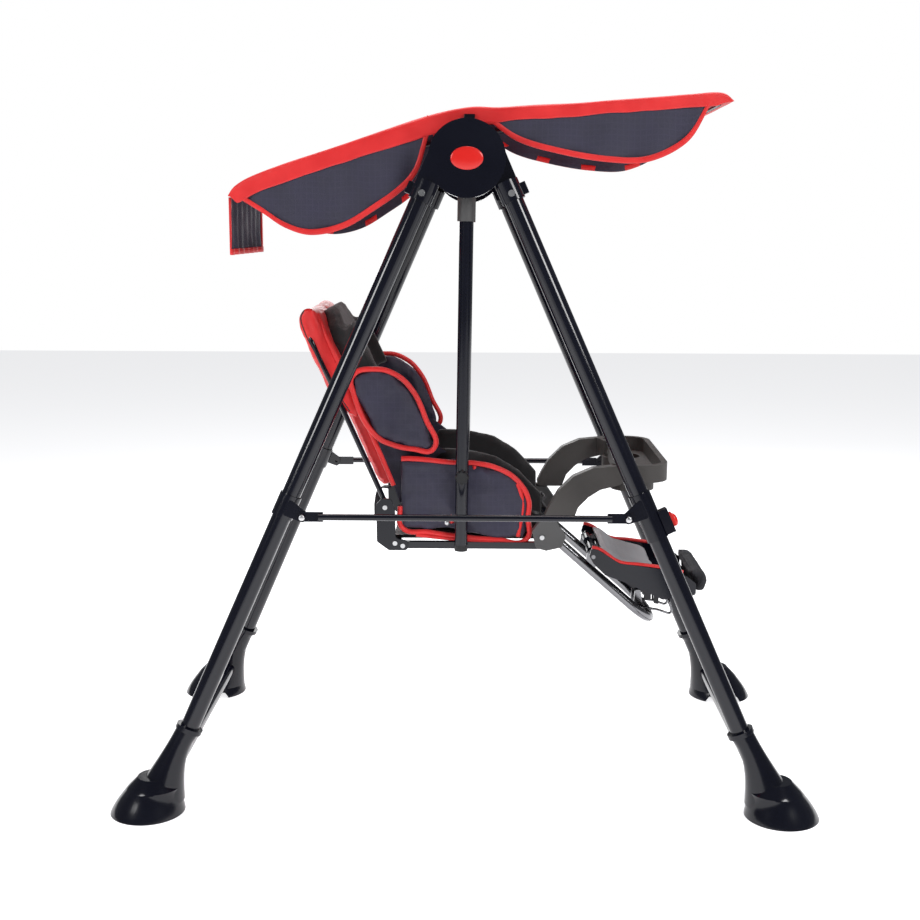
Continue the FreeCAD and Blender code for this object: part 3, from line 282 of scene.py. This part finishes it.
zinc = moulded("zinc_plate", (0.52, 0.52, 0.53), (0.68, 0.68, 0.69), 0.22, 0.38, 1200, 0.1, Metallic=1.0)
dark_nickel = moulded(
    "dark_nickel", (0.16, 0.16, 0.17), (0.27, 0.27, 0.28), 0.12, 0.24, 900, 0.06, Metallic=1.0
)
finished(["front_hub_screws", "rear_hub_screws", "seat_screws"], zinc, 0.0004)
finished(["footrest_tube", "footrest_bail"], dark_nickel, 0.0003)

# ---- Cloths -------------------------------------------------------------------------
# Red satin polyester, navy ripstop nylon, black plush and a silver lining, all
# woven or knitted, so that each has threads, a ripstop square or a pile.

weave_inputs = [
    ("Dark", COLOUR, (0, 0, 0, 1)),
    ("Light", COLOUR, (1, 1, 1, 1)),
    ("Smoothest", NUMBER, 0.5),
    ("Roughest", NUMBER, 0.7),
    ("Threads", NUMBER, 3200),
    ("Ripstop", NUMBER, 0.0),
]
cloth_weave, weave_in, weave_out = shader_group("cloth_weave", weave_inputs, grain_outputs)


def sum_node(operation, first=None, second=None):
    """One arithmetic step inside the weave."""
    step = cloth_weave.nodes.new("ShaderNodeMath")
    step.operation = operation
    for socket, source in zip(step.inputs, (first, second)):
        if isinstance(source, (int, float)):
            socket.default_value = source
        elif source is not None:
            cloth_weave.links.new(source, socket)
    return step.outputs[0]


weave_place = cloth_weave.nodes.new("ShaderNodeTexCoord")
parts = cloth_weave.nodes.new("ShaderNodeSeparateXYZ")
cloth_weave.links.new(weave_place.outputs["Object"], parts.inputs[0])
warp_way = parts.outputs["X"]
weft_way = sum_node("ADD", parts.outputs["Y"], parts.outputs["Z"])
threads = weave_in.outputs["Threads"]
warp = sum_node("SINE", sum_node("MULTIPLY", warp_way, threads))
weft = sum_node("SINE", sum_node("MULTIPLY", weft_way, threads))
thread_height = sum_node("MULTIPLY", warp, weft)
square = sum_node("DIVIDE", threads, 14)
rib_sharpness = 24


def rib(way):
    """Ripstop's raised cords, much narrower than the squares between them."""
    wave = sum_node("COSINE", sum_node("MULTIPLY", way, square))
    return sum_node("POWER", sum_node("ABSOLUTE", wave), rib_sharpness)


rib_warp = rib(warp_way)
rib_weft = rib(weft_way)
ribs = sum_node("MULTIPLY", sum_node("MAXIMUM", rib_warp, rib_weft), weave_in.outputs["Ripstop"])
shade = cloth_weave.nodes.new("ShaderNodeTexNoise")
shade.inputs["Scale"].default_value = 22
shade.inputs["Detail"].default_value = 5
cloth_weave.links.new(weave_place.outputs["Object"], shade.inputs["Vector"])
# The cloth's colour mixes a random tone from the noise with painted highlight and shade: raised threads and
# ripstop cords are painted lighter, and the hollows between them darker.
height = sum_node("ADD", sum_node("MULTIPLY", thread_height, 0.5), ribs)
tone_and_highlight_share = sum_node("ADD", sum_node("MULTIPLY", height, 0.3), shade.outputs["Fac"])
tone_and_painted_highlight = cloth_weave.nodes.new("ShaderNodeMix")
tone_and_painted_highlight.data_type = "RGBA"
worn = cloth_weave.nodes.new("ShaderNodeMapRange")
worn.inputs["From Min"].default_value = 0.3
worn.inputs["From Max"].default_value = 0.7
cloth_weave.links.new(tone_and_highlight_share, tone_and_painted_highlight.inputs["Factor"])
cloth_weave.links.new(weave_in.outputs["Dark"], tone_and_painted_highlight.inputs["A"])
cloth_weave.links.new(weave_in.outputs["Light"], tone_and_painted_highlight.inputs["B"])
cloth_weave.links.new(shade.outputs["Fac"], worn.inputs["Value"])
cloth_weave.links.new(weave_in.outputs["Smoothest"], worn.inputs["To Min"])
cloth_weave.links.new(weave_in.outputs["Roughest"], worn.inputs["To Max"])
cloth_weave.links.new(tone_and_painted_highlight.outputs["Result"], weave_out.inputs["Colour"])
cloth_weave.links.new(worn.outputs["Result"], weave_out.inputs["Roughness"])
cloth_weave.links.new(height, weave_out.inputs["Height"])


def woven(name, dark, light, smoothest, roughest, threads_per_metre, ripstop, bump, **constants):
    """A cloth finish in one colour, painted lighter on its raised threads as a highlight."""
    values = {
        "Dark": (*dark, 1),
        "Light": (*light, 1),
        "Smoothest": smoothest,
        "Roughest": roughest,
        "Threads": threads_per_metre,
        "Ripstop": ripstop,
    }
    return surfaced(name, cloth_weave, values, bump, 0.0005, **constants)


red_satin = woven(
    "red_satin", (0.56, 0.006, 0.008), (0.82, 0.016, 0.016), 0.34, 0.5, 5200, 0, 0.25,
    Sheen_Weight=0.15,
)
navy_ripstop = woven(
    "navy_ripstop", (0.012, 0.011, 0.026), (0.032, 0.029, 0.060), 0.5, 0.68, 4200, 0.6, 0.4
)
black_plush = woven(
    "black_plush", (0.004, 0.004, 0.005), (0.012, 0.012, 0.014), 0.85, 1.0, 2600, 0, 0.9,
    Sheen_Weight=0.35,
)
silver_lining = woven("silver_lining", (0.32, 0.32, 0.34), (0.46, 0.46, 0.48), 0.4, 0.55, 3800, 0.3, 0.3)
black_webbing = woven(
    "black_webbing", (0.006, 0.006, 0.009), (0.018, 0.018, 0.024), 0.6, 0.8, 2400, 0.9, 0.8
)

# ---- Canopy roof --------------------------------------------------------------------
# One piece of red satin stretched over the two end bows and the ridge tube. Its sides
# turn down over the edge as a 40 mm band that gathers a little on its stitching.


def mm(x, y, z):
    """A point given in millimetres."""
    return Vector((x, y, z)) / 1000


def drawn_line(points, steps):
    """Evenly spaced points on a smooth line through the given ones."""
    ends = [points[0] * 2 - points[1], *points, points[-1] * 2 - points[-2]]
    line = []
    for before, start, end, after in zip(ends, ends[1:], ends[2:], ends[3:]):
        for part in range(12):
            t = part / 12
            straight = 2 * start + (end - before) * t
            bend = (2 * before - 5 * start + 4 * end - after) * t * t
            twist = (3 * start - before - 3 * end + after) * t * t * t
            line.append((straight + bend + twist) / 2)
    line.append(points[-1].copy())
    reached = [0.0]
    for one, other in zip(line, line[1:]):
        reached.append(reached[-1] + (other - one).length)
    even, span = [], 0
    for step in range(steps + 1):
        wanted = reached[-1] * step / steps
        while span < len(line) - 2 and reached[span + 1] < wanted:
            span += 1
        gap = reached[span + 1] - reached[span]
        even.append(line[span].lerp(line[span + 1], (wanted - reached[span]) / gap if gap else 0))
    return even


def cloth_grid(across, down):
    """A flat grid with each vertex's share across and down, both from 0 to 1."""
    cloth = bmesh.new()
    bmesh.ops.create_grid(cloth, x_segments=across, y_segments=down, size=0.5)
    return cloth, [(vertex, vertex.co.x + 0.5, vertex.co.y + 0.5) for vertex in cloth.verts]


def thickened(piece, thickness, levels=0):
    """Gives a sheet its thickness and, where asked, a smoother surface."""
    if levels:
        smooth = piece.modifiers.new("smooth_cloth", "SUBSURF")
        smooth.levels = levels
        smooth.render_levels = levels
    cloth = piece.modifiers.new("cloth_thickness", "SOLIDIFY")
    cloth.thickness = thickness
    cloth.offset = 0
    return piece


roof_line = [
    mm(-438, 0, 1134), mm(-425, 0, 1153), mm(-378, 0, 1177), mm(-222, 0, 1231),
    mm(-68, 0, 1279), mm(6, 0, 1294), mm(60, 0, 1294), mm(167, 0, 1301),
    mm(275, 0, 1309), mm(401, 0, 1317), mm(460, 0, 1319), mm(481, 0, 1304),
]
roof_half = 0.1874
band_cut = 0.036
front_band = 0.72
roof_half_cut = roof_half + band_cut
roof_steps = 110
roof_edge = drawn_line(roof_line, roof_steps)
bow_places = (-0.425, 0.005, 0.458)


def band_share(x):
    """How much of the band's cut hangs down: less in front, and nothing at the end bows."""
    rear_end = min(1.0, max(0.0, (x - roof_line[0].x) / 0.016))
    front_end = min(1.0, max(0.0, (roof_line[-1].x - x) / 0.03))
    middle = 1 - (1 - front_band) * min(1.0, max(0.0, (x + 0.02) / 0.1))
    return middle * rear_end * front_end ** 0.7


def slack(x):
    """How far cloth is from the nearest bow, 0 at a bow and 1 half way between."""
    for near, far in zip(bow_places, bow_places[1:]):
        if near < x < far:
            return math.sin(math.pi * (x - near) / (far - near))
    return 0.0


roof_cloth, roof_verts = cloth_grid(roof_steps, 64)
for vertex, along, across in roof_verts:
    edge = roof_edge[round(along * roof_steps)]
    cut = (across * 2 - 1) * roof_half_cut
    side = math.copysign(1, cut)
    turned = max(0.0, abs(cut) - roof_half)
    crease = noise.noise(Vector((edge.x * 26, side * 3, 1.7)))
    pucker = noise.noise(Vector((edge.x * 70, side * 5, turned * 20)))
    sag = slack(edge.x) * (1 - (cut / roof_half_cut) ** 2) * 0.007
    ripple = noise.noise(Vector((edge.x * 9, cut * 9, 0.4))) * 0.002
    wide = min(abs(cut), roof_half) + min(turned, 0.004) * 0.3
    depth = turned * (band_share(edge.x) - 0.06 * crease)
    wide += 0.0006 * pucker if turned else 0
    top = edge.z - sag + (ripple if not turned else 0.0006 * crease)
    vertex.co = (edge.x, side * wide, top - depth)
roof = thickened(placed("canopy_roof", roof_cloth, red_satin), 0.0011, 1)
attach(roof, "canopy")
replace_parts(roof, "canopy_rear_cover", "canopy_front_cover")

# ---- Canopy side valances -----------------------------------------------------------
# Four navy ripstop panels sewn inside the roof's bands, scalloped along the hem and
# bound there with red tape 11 mm wide. They hang free, so they ripple a little.


def hung_panel(
    name, upper, lower, material, steps=(48, 14), ripple=0.0, inward=Vector((0, 0, 0)), waves=5.0
):
    """A panel between two edge lines that ripples more towards its hem."""
    across, down = steps
    top = drawn_line(upper, across)
    hem = drawn_line(lower, across)
    cloth, verts = cloth_grid(across, down)
    for vertex, along, fall in verts:
        column = round(along * across)
        place = top[column].lerp(hem[column], fall)
        swing = 0.5 + 0.5 * math.sin(along * waves * math.tau + 2 * fall)
        swing += 0.5 * noise.noise(place * 24)
        vertex.co = place + inward * (ripple * swing * fall)
    return placed(name, cloth, material)


def raised_line(points, other, width):
    """Moves a hem line towards the panel's other edge by a tape's width."""
    return [point + (mate - point).normalized() * width for point, mate in zip(points, other)]


rear_upper = [mm(-422, 0, 1150), mm(-378, 0, 1172), mm(-222, 0, 1226), mm(-120, 0, 1258), mm(-68, 0, 1275)]
rear_hem = [
    mm(-420, 0, 1130), mm(-376, 0, 1103), mm(-334, 0, 1076), mm(-285, 0, 1063), mm(-224, 0, 1076),
    mm(-168, 0, 1109), mm(-122, 0, 1141), mm(-92, 0, 1174), mm(-76, 0, 1220), mm(-64, 0, 1272),
]
front_upper = [mm(28, 0, 1289), mm(167, 0, 1296), mm(275, 0, 1304), mm(401, 0, 1312), mm(450, 0, 1312)]
front_hem = [
    mm(30, 0, 1276), mm(90, 0, 1233), mm(169, 0, 1210), mm(256, 0, 1196),
    mm(332, 0, 1197), mm(400, 0, 1232), mm(436, 0, 1292), mm(444, 0, 1308),
]
valance_half = 0.1868
tape_width = 0.011
bays = {
    "rear": (rear_upper, rear_hem, (0.45, 0.16), 0.031),
    "front": (front_upper, front_hem, (0.46, 0.12), 0.034),
}
for side, hand in ((1, "left"), (-1, "right")):
    for bay, (upper, hem, flat, area) in bays.items():
        out = Vector((0, side * valance_half, 0))
        upper_line = [point + out for point in upper]
        hem_line = [point + out for point in hem]
        towards = Vector((0, -side, 0))
        panel = hung_panel(
            "valance_%s_%s" % (bay, hand), upper_line, hem_line, navy_ripstop, (56, 14), 0.005, towards
        )
        thickened(panel, 0.0008, 1)
        smooth_hem = drawn_line(hem_line, 56)
        smooth_top = drawn_line(upper_line, 56)
        bound = raised_line(smooth_hem, smooth_top, tape_width)
        tape = hung_panel("hem_tape_%s_%s" % (bay, hand), bound, smooth_hem, red_satin, (112, 3))
        thickened(tape, 0.0032)
        for piece, colour in ((panel, "navy_fabric"), (tape, "red_fabric")):
            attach(piece, "canopy")
        if side == 1 and bay == "rear":
            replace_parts(panel, "canopy_side_valances")

# ---- Canopy back valance ------------------------------------------------------------
# A short navy curtain gathered along the rear bow, with red tape on its hem and ends.

curtain_half = 0.184
curtain_top = 1.131
curtain_hem = 1.027
curtain_x = -0.4365
pleats = 7
pleat_depth = 0.0024
drape = 0.004
drape_grain = 11
curtain_drop = curtain_hem - curtain_top
curtain_cloth, curtain_verts = cloth_grid(120, 16)
for vertex, along, fall in curtain_verts:
    fold = math.sin(along * pleats * math.tau) * pleat_depth * (0.35 + 0.65 * fall)
    fold += noise.noise(Vector((along * drape_grain, fall * 2, 3.3))) * drape * fall
    vertex.co = (curtain_x + fold, (along * 2 - 1) * curtain_half, curtain_top + curtain_drop * fall)
curtain = thickened(placed("back_valance", curtain_cloth, navy_ripstop), 0.0008, 1)
tape_cloth, tape_verts = cloth_grid(120, 2)
for vertex, along, fall in tape_verts:
    fold = math.sin(along * pleats * math.tau) * pleat_depth
    fold += noise.noise(Vector((along * drape_grain, 2, 3.3))) * drape
    tape_level = curtain_hem - 0.001 + tape_width * (1 - fall)
    vertex.co = (curtain_x + fold, (along * 2 - 1) * curtain_half, tape_level)
curtain_tape = thickened(placed("back_valance_tape", tape_cloth, red_satin), 0.0032)
for piece, colour in ((curtain, "navy_fabric"), (curtain_tape, "red_fabric")):
    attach(piece, "canopy")
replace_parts(curtain, "canopy_back_valance")
for side, hand in ((1, "left"), (-1, "right")):
    corner = Vector((curtain_x, side * curtain_half, curtain_top))
    low = Vector((curtain_x, side * curtain_half, curtain_hem))
    inner = Vector((0, -side * tape_width, 0))
    inner_edge = [corner + inner, low + inner]
    end_tape = hung_panel("valance_end_tape_" + hand, [corner, low], inner_edge, red_satin, (24, 2))
    thickened(end_tape, 0.0034)
    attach(end_tape, "canopy")

# ---- Padded pieces ------------------------------------------------------------------
# Sewn covers over foam and wadding. Each starts a little smaller than its place, is
# blown up by its filling as far as the seams let it, and then creases a little.

settle_frames = 20


def made_shape(part):
    """The closed shape of a made part."""
    skin = bmesh.new()
    skin.from_mesh(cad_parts[part].data)
    bmesh.ops.remove_doubles(skin, verts=skin.verts, dist=0.00001)
    return skin


def cut_shape(outline, width):
    """A closed block: an outline of points, made width thick towards +Y."""
    skin = bmesh.new()
    face = skin.faces.new([skin.verts.new(point) for point in outline])
    raised = bmesh.ops.extrude_face_region(skin, geom=[face])["geom"]
    moved = [item for item in raised if isinstance(item, bmesh.types.BMVert)]
    bmesh.ops.translate(skin, verts=moved, vec=(0, width, 0))
    return skin


def even_skin(name, skin, shrink, voxel):
    """One even skin of a closed shape, slightly inside its place."""
    bmesh.ops.recalc_face_normals(skin, faces=skin.faces)
    mesh = bpy.data.meshes.new(name)
    skin.to_mesh(mesh)
    skin.free()
    piece = bpy.data.objects.new(name, mesh)
    bpy.context.scene.collection.objects.link(piece)
    remesh = piece.modifiers.new("even_skin", "REMESH")
    remesh.mode = "VOXEL"
    remesh.voxel_size = voxel
    remesh.use_smooth_shade = True
    smooth = piece.modifiers.new("soft_corners", "SMOOTH")
    smooth.factor = 0.5
    smooth.iterations = 3
    inset = piece.modifiers.new("seam_allowance", "DISPLACE")
    inset.strength = -shrink
    inset.mid_level = 0
    return piece


def settled(piece):
    """Applies the piece's modifiers to its mesh."""
    found = bpy.context.evaluated_depsgraph_get()
    made = bpy.data.meshes.new_from_object(piece.evaluated_get(found))
    piece.modifiers.clear()
    piece.data = made
    return piece


def stuffed(
    name, skin, body, material, colour_slot,
    puff=4, most=0.006, shrink=0.002, voxel=0.005, crease=0.0012, folds=0.001,
):
    """A padded piece from a closed shape."""
    piece = settled(even_skin(name, skin, shrink, voxel))
    start = [vertex.co.copy() for vertex in piece.data.vertices]
    filling = piece.modifiers.new("filling", "CLOTH")
    filling.settings.quality = 4
    filling.settings.mass = 0.25
    filling.settings.use_pressure = True
    filling.settings.uniform_pressure_force = puff
    filling.settings.effector_weights.gravity = 0
    filling.point_cache.frame_start = 1
    filling.point_cache.frame_end = settle_frames
    for moment in range(1, settle_frames + 1):
        bpy.context.scene.frame_set(moment)
    settled(piece)
    bpy.context.scene.frame_set(1)
    normals = [vertex.normal.copy() for vertex in piece.data.vertices]
    for vertex, rest, normal in zip(piece.data.vertices, start, normals):
        move = vertex.co - rest
        if move.length > most:
            move = move.normalized() * most
        slanted = Vector((rest.x * 26 + rest.z * 12, rest.y * 8, rest.z * 9 - rest.x * 5))
        fold = noise.noise(rest * 38) * crease + noise.noise(rest * 90) * crease * 0.4
        fold -= max(0.0, noise.noise(slanted)) * folds
        vertex.co = rest + move + normal * fold
    piece.data.materials.clear()
    piece.data.materials.append(material)
    piece.data.polygons.foreach_set("use_smooth", [True] * len(piece.data.polygons))
    smooth = piece.modifiers.new("smooth_cover", "SUBSURF")
    smooth.levels = 1
    smooth.render_levels = 1
    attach(piece, body)
    return piece


def stuffed_part(name, part, body, material, colour_slot, **filling):
    """A padded piece in the place of its plain part."""
    piece = stuffed(name, made_shape(part), body, material, colour_slot, **filling)
    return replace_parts(piece, part)


def piping(name, points, radius, material, body, closed=True):
    """A covered cord sewn along a seam."""
    curve = bpy.data.curves.new(name, "CURVE")
    curve.dimensions = "3D"
    curve.bevel_depth = radius
    curve.bevel_resolution = 2
    curve.resolution_u = 10
    curve.use_fill_caps = True
    spline = curve.splines.new("BEZIER")
    spline.bezier_points.add(len(points) - 1)
    for knot, point in zip(spline.bezier_points, points):
        knot.co = point
        knot.handle_left_type = "AUTO"
        knot.handle_right_type = "AUTO"
    spline.use_cyclic_u = closed
    line = bpy.data.objects.new(name, curve)
    mesh = bpy.data.meshes.new_from_object(line)
    bpy.data.objects.remove(line)
    bpy.data.curves.remove(curve)
    mesh.materials.clear()
    mesh.materials.append(material)
    mesh.polygons.foreach_set("use_smooth", [True] * len(mesh.polygons))
    cord = bpy.data.objects.new(name, mesh)
    bpy.context.scene.collection.objects.link(cord)
    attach(cord, body)
    return cord


# Side panels: navy pads beside the child's hips, piped in red all round their outer
# face, with a second line of piping along the bottom and one behind the hanger.

stuffed_part(
    "side_pads", "side_panels", "seat", navy_ripstop, "navy_fabric",
    puff=3, most=0.004, shrink=0.001, crease=0.002, folds=0.011,
)
panel_outline = [
    (-127, 548), (-123, 506), (-70, 497), (-20, 490), (60, 483), (117, 484),
    (120, 530), (121, 560), (100, 598), (64, 622), (17, 633), (-21, 634), (-104, 641), (-124, 641),
]
panel_face = 158
for side, hand in ((1, "left"), (-1, "right")):
    outline = [mm(x, side * panel_face, z) for x, z in panel_outline]
    piping("side_pad_piping_" + hand, outline, 0.0052, red_satin, "seat", closed=False)
    low_line = [(-96, 492), (-40, 486), (60, 477.5), (150, 476)]
    front_line = [(99, 594), (109, 560), (107, 528), (101, 490)]
    slot_rear = [(-22, 598), (-27, 580), (-28, 545), (-26, 516)]
    slot_front = [(16, 628), (15, 590), (12, 558), (11, 530)]
    seams = {"low": low_line, "front": front_line, "rear_of_tube": slot_rear, "front_of_tube": slot_front}
    for seam, line in seams.items():
        points = [mm(x, side * (panel_face + 1.5), z) for x, z in line]
        piping("side_pad_%s_piping_%s" % (seam, hand), points, 0.0040, red_satin, "seat", closed=False)
    for mark, (x, z) in enumerate(((-36, 517), (64, 505)), start=1):
        stud = bmesh.new()
        bmesh.ops.create_uvsphere(stud, u_segments=20, v_segments=10, radius=0.0052)
        bmesh.ops.scale(stud, verts=stud.verts, vec=(1, 0.45, 1))
        bmesh.ops.translate(stud, verts=stud.verts, vec=mm(x, side * 161.5, z))
        snap = placed("snap_stud_%d_%s" % (mark, hand), stud, zinc)
        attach(snap, "seat")

# Inner bolsters: black plush rolls on the inner side of each side panel.

bolster_outline = [
    (-76, 533), (-80, 640), (-58, 662), (-4, 661), (58, 648), (106, 618), (150, 572), (153, 533),
]
bolster_width = 16
for side, hand in ((1, "left"), (-1, "right")):
    near = 118 if side == 1 else -118 - bolster_width
    skin = cut_shape([mm(x, near, z) for x, z in bolster_outline], bolster_width / 1000)
    stuffed("inner_bolster_" + hand, skin, "seat", black_plush, "black_fabric", shrink=0.001, most=0.004)

# Seat cushion: a removable black plush pad on the seat board, piped round its top.

stuffed_part("seat_pad", "seat_cushion", "seat", black_plush, "black_fabric", most=0.009, shrink=0.004)
pad_low, pad_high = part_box("seat_cushion")
pad_edge = 0.004
pad_corner = 0.03
pad_bow = 0.003
pad_ring = [
    Vector((x, y, pad_high.z - 0.004))
    for x, y in (
        (pad_low.x + pad_edge, pad_low.y + pad_corner), (pad_low.x + pad_corner, pad_low.y + pad_edge),
        (0.02, pad_low.y + pad_bow),
        (pad_high.x - pad_corner, pad_low.y + pad_edge), (pad_high.x - pad_edge, pad_low.y + pad_corner),
        (pad_high.x - pad_bow, 0),
        (pad_high.x - pad_edge, pad_high.y - pad_corner), (pad_high.x - pad_corner, pad_high.y - pad_edge),
        (0.02, pad_high.y - pad_bow),
        (pad_low.x + pad_corner, pad_high.y - pad_edge), (pad_low.x + pad_edge, pad_high.y - pad_corner),
        (pad_low.x + pad_bow, 0),
    )
]
piping("seat_pad_piping", pad_ring, 0.003, black_webbing, "seat")

# Backrest: a red padded shell sewn over the back frame's rod, a black plush liner with
# two head bolsters, and a navy wing on each side with thick red piping.

back_lean = math.radians(23.8)
recline_x = -155
recline_z = 548


def on_back(y, up, out):
    """A point on the backrest: up along it and out from it towards the child."""
    x = recline_x - up * math.sin(back_lean) + out * math.cos(back_lean)
    z = recline_z + up * math.cos(back_lean) + out * math.sin(back_lean)
    return mm(x, y, z)


stuffed_part(
    "back_shell_cover", "back_shell", "backrest", red_satin, "red_fabric", puff=4, most=0.007, crease=0.0018
)
stuffed_part(
    "back_liner", "back_cushion", "backrest", black_plush, "black_fabric", puff=4, most=0.007, crease=0.0014
)
stuffed_part(
    "back_wings", "backrest_wings", "backrest", navy_ripstop, "navy_fabric",
    puff=3, most=0.004, shrink=0.001, crease=0.002, folds=0.010,
)
hood_outline = [
    (-8, 384), (-2, 399), (10, 408), (24, 408), (32, 398), (33, 300),
    (33, 190), (20, 176), (6, 196), (-5, 250), (-9, 320),
]
hood_half = 161
hood = cut_shape([on_back(-hood_half, up, out) for out, up in hood_outline], 2 * hood_half / 1000)
stuffed(
    "back_hood", hood, "backrest", red_satin, "red_fabric",
    shrink=0.0005, most=0.005, voxel=0.006, crease=0.0026, folds=0.004,
)
wing_outline = [
    (34, 222), (46, 255), (92, 249), (121, 226), (138, 189),
    (140, 125), (131, 66), (93, 82), (62, 104), (40, 132),
]
for side, hand in ((1, "left"), (-1, "right")):
    points = [on_back(side * 159, up, out) for out, up in wing_outline]
    piping("wing_piping_" + hand, points, 0.0052, red_satin, "backrest")
    seam_line = [(404, 14), (396, 4), (376, -1), (320, 0), (250, 5), (196, 14)]
    points = [on_back(side * 163.5, up, out) for up, out in seam_line]
    piping(
        "hood_seam_" + hand, points, 0.0011, black_webbing, "backrest",
        closed=False,
    )
    edge_line = [(150, 30, 30), (150, 120, 32), (150, 240, 32), (149, 345, 31), (138, 385, 30)]
    points = [on_back(side * y, up, out) for y, up, out in edge_line]
    piping("shell_edge_piping_" + hand, points, 0.0048, red_satin, "backrest", closed=False)

# Gussets: thin navy cloth between each wing and side panel. The real cloth folds as
# the backrest reclines; here it is a fixed sheet, attached to no body.

for side, hand in ((1, "left"), (-1, "right")):
    upper = [on_back(side * 133.8, up, out) for up, out in ((176, 40), (120, 72), (96, 108), (84, 128))]
    lower = [mm(x, side * 133.8, z) for x, z in ((-128, 548), (-96, 590), (-50, 618), (-8, 628))]
    gusset = thickened(hung_panel("gusset_" + hand, upper, lower, navy_ripstop, (30, 24)), 0.0008)
    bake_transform(gusset)

# Footrest: a silver calf lining on the black moulding, with a padded black toe end.

stuffed_part(
    "calf_lining", "calf_pad", "footrest", silver_lining, "navy_fabric",
    most=0.003, shrink=0.0015, voxel=0.004,
)
plate_x = 252
plate_z = 438
rim_half = 108
toe_half = 92
toe_outline = [
    (205.5, -74), (205.5, -50), (194, -38), (196, -30), (212, -31),
    (225, -39), (230, -54), (225, -72), (215, -77),
]
toe_skin = cut_shape([mm(plate_x + x, -toe_half, plate_z + z) for x, z in toe_outline], 2 * toe_half / 1000)
toe_pad = stuffed(
    "toe_pad", toe_skin, "footrest", black_webbing, "black_fabric", most=0.004, shrink=0.001, voxel=0.004
)
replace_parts(toe_pad, "toe_cuff")
for side, hand in ((1, "left"), (-1, "right")):
    rim = [(-3, 19), (10, 16), (52, -10), (93, -15), (143, -22), (178, -30)]
    points = [mm(plate_x + x, side * rim_half, plate_z + z) for x, z in rim]
    piping("calf_piping_" + hand, points, 0.0036, red_satin, "footrest", closed=False)

# ---- Harness and recline strap ------------------------------------------------------
# Woven polypropylene webbing: two shoulder straps on the liner, two lap straps on the
# seat pad and the strap behind the seat that holds the backrest's angle.


def webbing(name, middle, across, body, part=None, thickness=0.0018, across_end=None):
    """A flat strap along a line, with across pointing over half its width at each end."""
    line = drawn_line(middle, 40)
    strap, verts = cloth_grid(40, 4)
    for vertex, along, over in verts:
        half = across.lerp(across_end or across, min(1.0, along * 1.6))
        vertex.co = line[round(along * 40)] + half * (over * 2 - 1)
    piece = thickened(placed(name, strap, black_webbing), thickness)
    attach(piece, body)
    if part:
        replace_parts(piece, part)
    return piece


for side, hand in ((1, "left"), (-1, "right")):
    rises = ((42, 3), (90, 4.5), (150, 5), (200, 4), (232, -1))
    middle = [on_back(side * 52, up, 62 + rise) for up, rise in rises]
    part = "shoulder_straps" if side == 1 else None
    webbing("shoulder_strap_" + hand, middle, Vector((0, 0.017, 0)), "backrest", part)
    middle = [mm(11, side * y, z) for y, z in ((34, 535), (60, 536), (95, 535), (126, 529))]
    part = "harness_lap_straps" if side == 1 else None
    webbing("lap_strap_" + hand, middle, Vector((0.016, 0, 0)), "seat", part)
tail_y = 147.5
tail_route = ((-165, 526), (-184, 526), (-190, 515), (-190.5, 485), (-190, 454))
strap_line = [mm(x, tail_y, z) for x, z in tail_route]
turned_tail = Vector((0.009, 0.009, 0))
webbing(
    "recline_strap_tail", strap_line, Vector((0, 0.0145, 0)), "seat", "recline_strap",
    across_end=turned_tail,
)

# ---- Pin heads and lever caps -------------------------------------------------------
# Zinc pan heads on the brace pivots, and the red thumb caps over the lock buttons.


def dome(name, place, size, material, body, lean=0.0):
    """A rounded cap, leaning about the Y axis."""
    cap = bmesh.new()
    bmesh.ops.create_uvsphere(cap, u_segments=28, v_segments=14, radius=1)
    bmesh.ops.scale(cap, verts=cap.verts, vec=size)
    bmesh.ops.rotate(cap, verts=cap.verts, cent=(0, 0, 0), matrix=Matrix.Rotation(lean, 3, "Y"))
    bmesh.ops.translate(cap, verts=cap.verts, vec=place)
    piece = placed(name, cap, material)
    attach(piece, body)
    return piece


pin_head = (0.0055, 0.0022, 0.0055)
lever_cap = (0.0065, 0.0085, 0.0125)
lever_lean = math.radians(-23.7)
for side, hand in ((1, "left"), (-1, "right")):
    low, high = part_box("brace_bar_" + hand)
    bar_face = high.y if side == 1 else low.y
    middle_z = (low.z + high.z) / 2
    for end, x in (("front", high.x - 0.009), ("rear", low.x + 0.009)):
        place = (x, bar_face, middle_z)
        dome("brace_pin_head_%s_%s" % (end, hand), place, pin_head, zinc, "bar_" + hand)
    low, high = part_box("lock_button_" + hand)
    cap_place = Vector((high.x - 0.004, (low.y + high.y) / 2, (low.z + high.z) / 2 + 0.001))
    dome(
        "lever_cap_" + hand, cap_place, lever_cap, lever_red, "button_" + hand, lever_lean
    )

bpy.context.view_layer.update()
